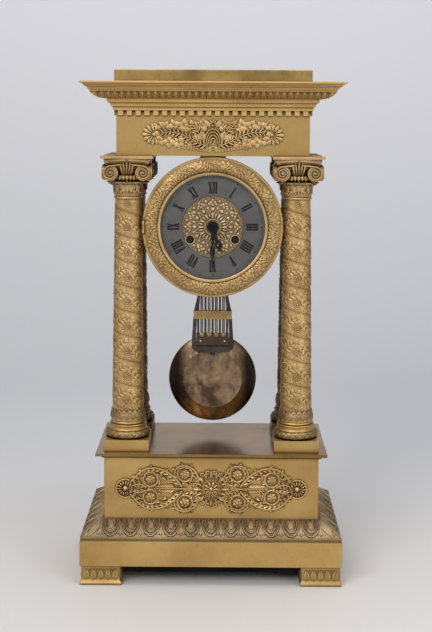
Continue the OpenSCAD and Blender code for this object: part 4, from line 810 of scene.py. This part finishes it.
def makeVine():
    look = shaftSet
    low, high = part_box("column_shaft_front_left")
    foot, neck = low.z / mm + look["footBand"], high.z / mm - look["neckBand"]
    swing, step = look["swing"], look["stemStep"]
    turnLength = 2 * math.pi * look["middle"]
    wave = turnLength / look["waves"]
    slope = look["pitch"] / turnLength
    length = (neck - foot + 2 * look["pitch"]) / slope

    def levelOf(x, y):
        return neck + look["pitch"] - slope * x + y

    leaf = leafBlade(*look["leaf"], swell=0.9, cuts=(6, 4))
    flower = joined([hoop(look["flower"], 0.62, 18, 5), hoop(look["flower"] * 0.54, 0.5, 14, 5),
                     button(1.1, 0.9, 8, 5)], "vine_flower")
    # the winding stem, cut to the shaft's length, with its leaves and flowers
    run = [(x, swing * math.cos(2 * math.pi * x / wave)) for x in (i * step for i in range(int(length / step)))
           if foot + 7.5 < levelOf(x, 0) < neck - 7]
    bits = sprig(run, 0.6, 0.6, leaf, look["step"], 50, (1.0, 1.0), 0.15)
    for n in range(int(2 * length / wave)):
        x, side = n * wave / 2, (1 if n % 2 else -1)
        y = side * swing * 1.12
        if foot + 5 < levelOf(x, y) < neck - 5:
            bits.append(copyTo(flower, at(x, y)))
            bits += [copyTo(leaf, at(x, y, side * turn, 1.0) @ at(look["flower"] + 0.4, 0, 20, size))
                     for turn, size in look["sprays"]]
    discard(leaf, flower)
    for side in (-0.75, 0.75):
        ridge = [(i * turnLength / 24, look["pitch"] / 2 + side, 0.1) for i in range(int(length / turnLength * 24))]
        bits.append(stem([p for p in ridge if foot + 0.8 < levelOf(p[0], p[1]) < neck - 0.8], look["fillet"]))

    def wrap(co):
        turn = co.x / look["middle"]
        level = min(max(levelOf(co.x, co.y), foot), neck)
        radius = look["bottom"] + (look["top"] - look["bottom"]) * (level - foot) / (neck - foot)
        radius += co.z * look["relief"]
        return Vector((radius * math.sin(turn), -radius * math.cos(turn), level))

    return bendOver(joined(bits, "shaft_vine"), wrap)


def copyToColumns(model, name, finish):
    for corner in ("front_left", "front_right", "rear_left", "rear_right"):
        axis = middleOf("column_base_" + corner)
        place = Matrix.Translation((axis.x, axis.y, 0)) @ inMetres
        # rear copies take the dark copy of the gilt: painted shade
        kind = "rear_shaded_gilt" if corner.startswith("rear") else finish
        finishPiece([copyTo(model, Matrix.Identity(4))], name + "_" + corner, kind, place)
    discard(model)


copyToColumns(makeVine(), "column_vine", "gilt_shaft")
print("column vines wound")


# capitals: leaves, scrolls, flutes and eggs on one capital, copied to the others

capitalSet = {
    "leaves": 12, "volute": (15.9, 23.4), "scrollRise": 16.5, "eggs": 5, "eggRing": 18.9, "eggTurn": 10.6, "flutes": 5,
    "flute": (1.0, 2.7, 2.0), "egg": (5.0, 3.1, 1.5), "fluteFace": 19.8, "fluteTilt": 11,
    "fluteTall": 14.6, "fluteDrop": 1.5, "fluteStep": 1.9, "fluteFan": 7, "fluteFoot": -1.6, "eggLevel": -2.4,
    "beads": 30, "bead": (1.1, 1.1), "beadRing": 14.1, "beadLevel": 3.2, "neck": 14.0, "leafFoot": 4.0,
    "scroll": (6.7, 1.7), "scrollTurn": 700, "band": (0.95, 0.7), "eye": (1.7, 1.8),
    "ringLeaf": (8.0, 4.6, 10.2, 1.2), "cornerLeaf": (9.0, 9.4, 13.2, 2.4), "faceLeaf": (7.0, 6.4, 12.4, 2.0),
    "lead": ((-12.5, 8.2, -2.0), (-9.5, 7.9, -1.2), (-6.5, 7.5, -0.4), (-3.2, 7.1, 0.2)),
}


def makeCapital():
    look = capitalSet
    low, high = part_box("column_capital_front_left")
    foot, level = low.z / mm, high.z / mm - look["scrollRise"]

    def curledLeaf(size, turn):
        wide, reach, rise, roll = size
        leaf = leafBlade(1.0, wide, 1.5, lobes=2, swell=0.8, cuts=(12, 4), vein=0.5)

        def curlOut(co):
            u = co.x
            out = look["neck"] + u + reach * u ** 3 + co.z * (1 - 0.4 * u)
            up = foot + look["leafFoot"] + rise * math.sin(math.pi * 0.62 * u) - roll * u ** 6 + co.z * 0.6 * u
            return Vector((co.y * (1.0 - 0.25 * u), -out, up))

        return settle(bendOver(leaf, curlOut), spin(turn))

    # leaves that curl out below the scrolls: a low ring, and a longer one under each corner and face
    bits = [curledLeaf(look["ringLeaf"], 360 / look["leaves"] * (k + 0.5)) for k in range(look["leaves"])]
    for k in range(4):
        bits += [curledLeaf(look["cornerLeaf"], 90 * k + 45), curledLeaf(look["faceLeaf"], 90 * k)]
    x, y = look["volute"]
    flute = leafBlade(*look["flute"], vein=0.0, swell=1.2, cuts=(8, 4))
    egg = leafBlade(*look["egg"], vein=0.0, swell=0.8, cuts=(6, 4))
    for quarter in (spin(90 * k) for k in range(4)):
        for side in (-1, 1):
            # a rolled band that leaves the middle of the face and winds in to an eye
            face = quarter @ upright(side * x, -y, level)
            band = [(side * px, py, pz) for px, py, pz in look["lead"]]
            band += curl(*look["scroll"], 90, 90 - side * look["scrollTurn"], 0.35, 44)
            bits += [settle(stem(band, *look["band"]), face), settle(button(*look["eye"]), face)]
        # upright flutes over the middle of each face, eggs on the ring below
        lean = Matrix.Rotation(math.radians(look["fluteTilt"]), 4, "X")
        middle = quarter @ upright(0, -look["fluteFace"], level + look["fluteFoot"]) @ lean
        for off in (n - (look["flutes"] - 1) / 2 for n in range(look["flutes"])):
            tall = Matrix.Diagonal((look["fluteTall"] - look["fluteDrop"] * abs(off), 1, 1, 1))
            bits.append(copyTo(flute, middle @ at(look["fluteStep"] * off, 0, 90 - look["fluteFan"] * off) @ tall))
        for off in (n - (look["eggs"] - 1) / 2 for n in range(look["eggs"])):
            ring = quarter @ spin(look["eggTurn"] * off) @ upright(0, -look["eggRing"], level + look["eggLevel"])
            bits.append(copyTo(egg, ring @ at(0, 0, -90)))
    discard(flute, egg)
    for k in range(look["beads"]):
        spot = polar(look["beadRing"], 360 * k / look["beads"] - 90, foot + look["beadLevel"])
        bits.append(settle(button(*look["bead"], 8, 5), Matrix.Translation(spot)))
    return joined(bits, "capital_model")


copyToColumns(makeCapital(), "capital_dress", "capital_gilt")
print("capitals dressed")


# column bases: leaves laid over the lower ring, a leaf band at the foot of the shaft

columnFootSet = {"leaves": 18, "ringRadius": 18.0, "ringRise": 3.96, "ringThick": 3.8, "ringTall": 18.0,
                 "ringRows": ((0.0, 0.62), (0.40, 0.60)), "bandRows": ((0.7, 7.2, 16.9), (4.4, 6.0, 16.2))}


def makeColumnFoot():
    look = columnFootSet
    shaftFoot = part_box("column_shaft_front_left")[0].z / mm
    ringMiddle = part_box("column_base_front_left")[1].z / mm - look["ringTall"] + look["ringRise"]
    bits = []

    def overRing(co):
        slope = math.radians(84 - 142 * co.x)
        reach = look["ringThick"] - 0.1 + co.z
        return Vector((co.y, -look["ringRadius"] - reach * math.cos(slope), ringMiddle + reach * math.sin(slope)))

    def turns(row):
        return [spin(360 * (k + row / 2) / look["leaves"]) for k in range(look["leaves"])]

    for row, (start, size) in enumerate(look["ringRows"]):
        leaf = settle(leafBlade(size, 7.4, 0.95, lobes=2, swell=1.2, cuts=(9, 4), vein=0.4), at(start, 0))
        bendOver(leaf, overRing)
        bits += [copyTo(leaf, turn) for turn in turns(row)]
        discard(leaf)
    for row, (start, long, radius) in enumerate(look["bandRows"]):
        leaf = settle(leafBlade(long, 6.0, 1.0, swell=0.75, cuts=(6, 4), vein=0.45), upright(0, 0, 0) @ at(0, 0, 90))
        bendOver(leaf, lambda co: Vector((co.x, co.y - radius + 0.012 * co.z * co.z, co.z + shaftFoot + start)))
        bits += [copyTo(leaf, turn) for turn in turns(row)]
        discard(leaf)
    return joined(bits, "column_foot")


copyToColumns(makeColumnFoot(), "column_foot_leaves", "worn_gilt")
print("column feet dressed")


def fourSides(name):
    # half length, distance from the middle and turn of each side of a node's box
    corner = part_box(name)[1] / mm
    return [(*((corner.x, corner.y) if k % 2 == 0 else (corner.y, corner.x)), spin(90 * k)) for k in range(4)]


# leaf-and-dart on the sloping base moulding

baseLeafSet = {"pitch": 19.6, "half": 8.0, "run": 19.6, "rise": 10.6, "lip": 1.8, "inner": 1.0, "swell": 0.1,
               "long": 21.4, "rim": 0.72, "high": 1.0, "mitre": 0.7, "cornerTurn": 33}


def makeBaseLeaves():
    look = baseLeafSet
    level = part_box("leaf_moulding")[0].z / mm + look["lip"]
    long, wide, high, swell = look["long"], look["half"], look["high"], look["swell"]

    def lay(co, along, edge):
        # X runs down the slope from the pedestal to the outer lip, Y along the side
        f = co.x / long
        reach = look["inner"] + look["run"] * f
        rise = look["rise"] * (1 - f + swell * math.sin(math.pi * f))
        nx, nz = look["rise"] * (1 - swell * math.pi * math.cos(math.pi * f)), look["run"]
        size = math.hypot(nx, nz)
        return Vector((along + co.y, -(edge + reach + co.z * nx / size), level + rise + co.z * nz / size))

    def loop(width, tip, thick):
        # a rounded U, open at the top
        arm = [(0.3, width, 0.3), (0.40 * tip, width * 1.04, 0.4), (0.72 * tip, width * 0.84, 0.5),
               (0.93 * tip, width * 0.45, 0.5)]
        return stem(smooth([(x, -y, z) for x, y, z in arm] + [(tip, 0, 0.5)] + arm[::-1], 2), thick)

    def unit():
        # one leaf: two rims, a ribbed tongue inside and a bead at the tip
        tongue = leafBlade(0.62 * long, wide * 0.62, high * 1.2, vein=0.5, swell=1.5, cuts=(10, 4))
        ribs = [settle(leafBlade(0.5 * long, 1.7, high, vein=0.0, swell=1.3, cuts=(7, 2)), at(0.6, side * wide * 0.50))
                for side in (-1, 1)]
        rims = [loop(wide, 0.97 * long, look["rim"]), loop(wide * 0.68, 0.80 * long, look["rim"] * 0.75)]
        return joined(rims + [tongue, settle(button(1.2, 1.2, 10, 6), at(0.88 * long, 0))] + ribs, "leaf_unit")

    def dart():
        blade = leafBlade(0.95 * long, 3.6, high * 1.25, swell=2.2, cuts=(10, 4))
        wings = [settle(leafBlade(0.42 * long, 2.4, high, vein=0.2, swell=1.2, cuts=(6, 2)),
                        at(0.52 * long, side * 0.6, side * 17)) for side in (-1, 1)]
        return joined([blade] + wings, "dart_unit")

    bits = []
    leaf, point = unit(), dart()
    corner = leafBlade(1.18 * long, 7.0, high * 1.2, vein=0.5, swell=0.9, cuts=(12, 6))
    for side, edge, quarter in fourSides("pedestal_case"):
        count = round(2 * (side + 1) / look["pitch"])
        step = 2 * (side + 2) / count

        def laid(model, place, along):
            one = bendOver(copyTo(model, place), lambda co: lay(co, along, edge))
            bits.append(settle(one, quarter))

        for along in (-side - 2 + step * n for n in range(count + 1)):
            if along < side:
                laid(leaf, Matrix.Diagonal((1, step / look["pitch"], 1, 1)), along + step / 2)
            laid(point, Matrix.Identity(4), along)
        for end in (-1, 1):
            laid(corner, at(0.6, 0, end * look["cornerTurn"]), end * (side + 0.5))
        # a raised line down the mitre at the corner
        ridge = [lay(Vector((long * f, 0, 0.2)), 0, edge) for f in (0, 0.25, 0.5, 0.75, 1)]
        bits.append(settle(stem([(side - edge - c.y, c.y, c.z) for c in ridge], look["mitre"]), quarter))
    discard(leaf, point, corner)
    finishPiece(bits, "base_leaves", "worn_bronze")


makeBaseLeaves()
print("base leaves laid")


# leaf band on the feet

footBandSet = {"tongues": 5, "pitch": 7.0, "foot": 5.4, "long": 9.8, "width": 6.4, "high": 1.35, "half": 18.6,
               "inset": 20.5}


def makeFootBands():
    look = footBandSet
    long, pitch = look["long"], look["pitch"]
    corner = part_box("base_plinth")[1] / mm
    x, y = corner.x - look["inset"], corner.y - look["inset"]
    tongue = leafBlade(long, look["width"], look["high"], swell=0.75, cuts=(8, 6), vein=0.5)
    point = leafBlade(long * 0.55, 2.0, look["high"] * 0.8, swell=0.6, cuts=(5, 2), vein=0.0)
    bits = []
    for foot in ((-x, -y), (-x, y), (x, -y), (x, y)):
        for k in range(4):
            face = Matrix.Translation((*foot, 0)) @ spin(90 * k) @ upright(0, -look["half"], look["foot"])
            for n in range(look["tongues"]):
                across = pitch * (n - (look["tongues"] - 1) / 2)
                bits.append(copyTo(tongue, face @ at(across, 0, 90)))
                if n:
                    bits.append(copyTo(point, face @ at(across - pitch / 2, long, -90)))
    discard(tongue, point)
    finishPiece(bits, "foot_bands", "foot_shaded_gilt")


makeFootBands()
print("foot bands modelled")


# leaf row under the crown of the cornice

corniceSet = {"pitch": 6.4, "foot": (14.4, 13.2), "tip": (23.9, 18.9), "width": 4.6, "high": 2.4}


def makeCorniceLeaves():
    look = corniceSet
    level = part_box("cornice")[0].z / mm
    (r0, z0), (r1, z1) = look["foot"], look["tip"]
    length = math.hypot(r1 - r0, z1 - z0)
    ur, uz = (r1 - r0) / length, (z1 - z0) / length
    leaf = leafBlade(length, look["width"], look["high"], swell=0.8, cuts=(5, 4), vein=0.5)
    bits = []
    for side, edge, quarter in fourSides("frieze_case"):
        reach = side + (r0 + r1) / 2
        count = int(2 * reach / look["pitch"])

        def lean(co):
            return Vector((co.y, -(edge + r0 + ur * co.x + uz * co.z), level + z0 + uz * co.x - ur * co.z))

        model = bendOver(copyTo(leaf, Matrix.Identity(4)), lean)
        bits += [copyTo(model, quarter @ at(-reach + 2 * reach * (n + 0.5) / count, 0)) for n in range(count)]
        discard(model)
    discard(leaf)
    finishPiece(bits, "cornice_leaves", "gilt_chased")


makeCorniceLeaves()
print("cornice leaves modelled")


# bezel wreath

bezelSet = {"units": 30, "radius": 60.2, "crown": 58.8, "inFall": 0.10, "outFall": 0.029, "wave": 3.2, "flower": 3.0,
            "flowerOff": 2.0, "step": 3.2, "face": 44.4, "points": 240, "leaf": (5.4, 3.2, 1.1)}


def makeWreath():
    look = bezelSet
    r, units, crown = look["radius"], look["units"], look["crown"]
    leaf = leafBlade(*look["leaf"], vein=0.4, swell=0.9, cuts=(6, 4))
    flower = rosette(look["flower"], 5, 1.2)
    length = 2 * math.pi * r
    steps = [i * length / look["points"] for i in range(look["points"] + 1)]
    run = [(x, look["wave"] * math.sin(math.pi * units * x / length)) for x in steps]
    bits = sprig(run, 0.5, 0.5, leaf, look["step"], 58, (0.9, 0.9), 0.3)
    for k in range(units):
        x, side = (k + 0.5) * length / units, (-1 if k % 2 else 1)
        y = -side * look["flowerOff"]
        bits.append(copyTo(flower, at(x, y)))
        bits += [copyTo(leaf, at(x, y, -side * turn) @ at(look["flower"], 0, 0, 0.7)) for turn in (25, 155)]
    discard(leaf, flower)

    def roundDial(co):
        reach = r + co.y
        fall = look["inFall"] if reach < crown else look["outFall"]
        return Vector(polar(reach, math.degrees(co.x / r), co.z - fall * (reach - crown) ** 2))

    wreath = bendOver(joined(bits, "wreath"), roundDial)
    place = upright(0, -look["face"] * mm, dialZ) @ inMetres
    finishPiece([wreath], "bezel_wreath", "gilt_mount", place, body="bezel_door")


makeWreath()
print("bezel wreath modelled")


# dial centre: flowers, arches and beads on the gilt plate

dialSet = {"flowers": 12, "flowerRadius": 24.4, "petals": ((-2.0, 0.2), (2.0, 0.2), (0, 2.4), (0, -2.0)),
           "between": ((26.2, 1.0, 0.8), (19.4, 0.9, 0.6)), "arch": (9.6, 8.6), "beads": 60, "beadRadius": 30.0,
           "hub": 7.8, "hole": (22.4, -12.6, 5.4), "holeRim": 4.6, "room": 1.4, "petal": (1.85, 1.7),
           "leaf": (6.2, 3.2, 1.5), "bead": (0.7, 0.9), "slip": (4.0, 2.6, 1.4)}


def clearOfHoles(x, y, room):
    hx, hy, r = dialSet["hole"]
    return all(math.hypot(x - side * hx, y - hy) > r + room for side in (-1, 1))


def makeDialCentre():
    look = dialSet
    count, reach = look["flowers"], look["flowerRadius"]
    petal = button(*look["petal"], 10, 6)
    leaf = leafBlade(*look["leaf"], swell=1.1, cuts=(6, 4), vein=0.35)
    bead = button(*look["bead"], 8, 5)
    slip = leafBlade(*look["slip"], swell=1.2, cuts=(4, 2), vein=0.2)
    bits = []
    for turn in (90 + 360 * k / count for k in range(count)):
        ray, half = spin(turn), spin(turn + 180 / count)
        if clearOfHoles(*polar(reach, turn)[:2], look["room"]):
            # a flower of four round petals with a leaf each side
            bits += [copyTo(petal, ray @ at(reach + out, across)) for across, out in look["petals"]]
            bits.append(copyTo(bead, ray @ at(reach + 0.2, 0, 0, 1.2, lift=0.4)))
            bits += [copyTo(slip, ray @ at(reach - 2.6, side * 1.4, side * 55)) for side in (-1, 1)]
        bits.append(copyTo(leaf, ray @ at(8.6, 0)))
        bits.append(copyTo(slip, ray @ at(15.2, 0, 0, 1.1)))
        bits.append(copyTo(leaf, half @ at(9.4, 0, 0, 0.8)))
        bits += [copyTo(petal, half @ at(out, 0, 0, size)) for out, size, room in look["between"]
                 if clearOfHoles(*polar(out, turn + 180 / count)[:2], room)]
        inner, rise = look["arch"]
        bits.append(stem([polar(inner + rise * math.sin(math.pi * f), turn + 360 / count * f, 0.35)
                          for f in (0, 0.12, 0.25, 0.38, 0.5, 0.62, 0.75, 0.88, 1)], 0.5))
    bits += [copyTo(bead, spin(360 * k / look["beads"]) @ at(look["beadRadius"], 0)) for k in range(look["beads"])]
    bits.append(hoop(look["hub"], 0.6, 40, 6))
    for side in (-1, 1):
        bits.append(settle(hoop(look["holeRim"], 0.6, 32, 6), at(side * look["hole"][0], look["hole"][1])))
    discard(petal, leaf, bead, slip)
    finishPiece(bits, "dial_relief", "dial_gilt", onFace("dial_plate", dialZ))


makeDialCentre()
print("dial centre modelled")


# hour numerals and dots

numeralSet = {"foot": 33.6, "tall": 11.0, "thick": 1.85, "thin": 0.9, "proud": 0.3, "dots": 48.4, "serif": 0.7,
              "serifWide": 2.2, "inset": 0.9, "widths": {"I": 2.5, "V": 4.2, "X": 4.4}}
hours = ("XII", "I", "II", "III", "IIII", "V", "VI", "VII", "VIII", "IX", "X", "XI")


def stroke(x0, y0, x1, y1, width):
    bar = added(bpy.ops.mesh.primitive_cube_add, size=1)
    for v in bar.data.vertices:
        share = v.co.y + 0.5
        v.co = (x0 + (x1 - x0) * share + v.co.x * width, y0 + (y1 - y0) * share, (v.co.z + 0.3) * numeralSet["proud"])
    return bar


def numeral(letters):
    look = numeralSet
    tall, thick, thin, serif = look["tall"], look["thick"], look["thin"], look["serif"]
    x = -sum(look["widths"][c] for c in letters) / 2
    bits = []
    for c in letters:
        w = look["widths"][c]
        left, right, middle = x + look["inset"], x + w - look["inset"], x + w / 2
        if c == "I":
            bits.append(stroke(middle, 0, middle, tall, thick))
            feet = ((middle, 0), (middle, tall))
        elif c == "V":
            bits += [stroke(middle, 0, left, tall, thick), stroke(middle, 0, right, tall, thin)]
            feet = ((left, tall), (right, tall))
        else:
            bits += [stroke(right, 0, left, tall, thick), stroke(left, 0, right, tall, thin)]
            feet = ((left, 0), (right, 0), (left, tall), (right, tall))
        bits += [stroke(fx, fy - serif / 2, fx, fy + serif / 2, look["serifWide"]) for fx, fy in feet]
        x += w
    return joined(bits, "numeral")


def makeNumerals():
    look = numeralSet
    bits = []
    for k, letters in enumerate(hours):
        bits.append(settle(numeral(letters), spin(-30 * k) @ at(0, look["foot"])))
        bits.append(settle(button(0.75, 0.35, 10, 4), spin(-30 * k) @ at(0, look["dots"])))
    finishPiece(bits, "hour_numerals", "numeral_black", onFace("chapter_ring", dialZ), sharp=30)


makeNumerals()
print("numerals set")


# cups under the yellow rods and two screw heads on the pendulum's low bar

pendulumTrimSet = {
    "rod_cups": {"spots": (-11.25, -3.75, 3.75, 11.25), "size": (2.9, 1.2), "level": 11.2, "finish": "worn_gilt",
                 "slot": "pendulum_gilt"},
    "bar_screws": {"spots": (-12.4, 12.4), "size": (1.3, 0.8), "level": 4.4, "finish": "bright_steel",
                   "slot": "bright_steel"},
}


def makePendulumTrim():
    place = onFace("pendulum_brass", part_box("pendulum_brass")[0].z)
    for name, look in pendulumTrimSet.items():
        row = [settle(button(*look["size"], 16, 8), at(x, look["level"])) for x in look["spots"]]
        finishPiece(row, name, look["finish"], place, body="pendulum")


makePendulumTrim()
print("pendulum trimmed")
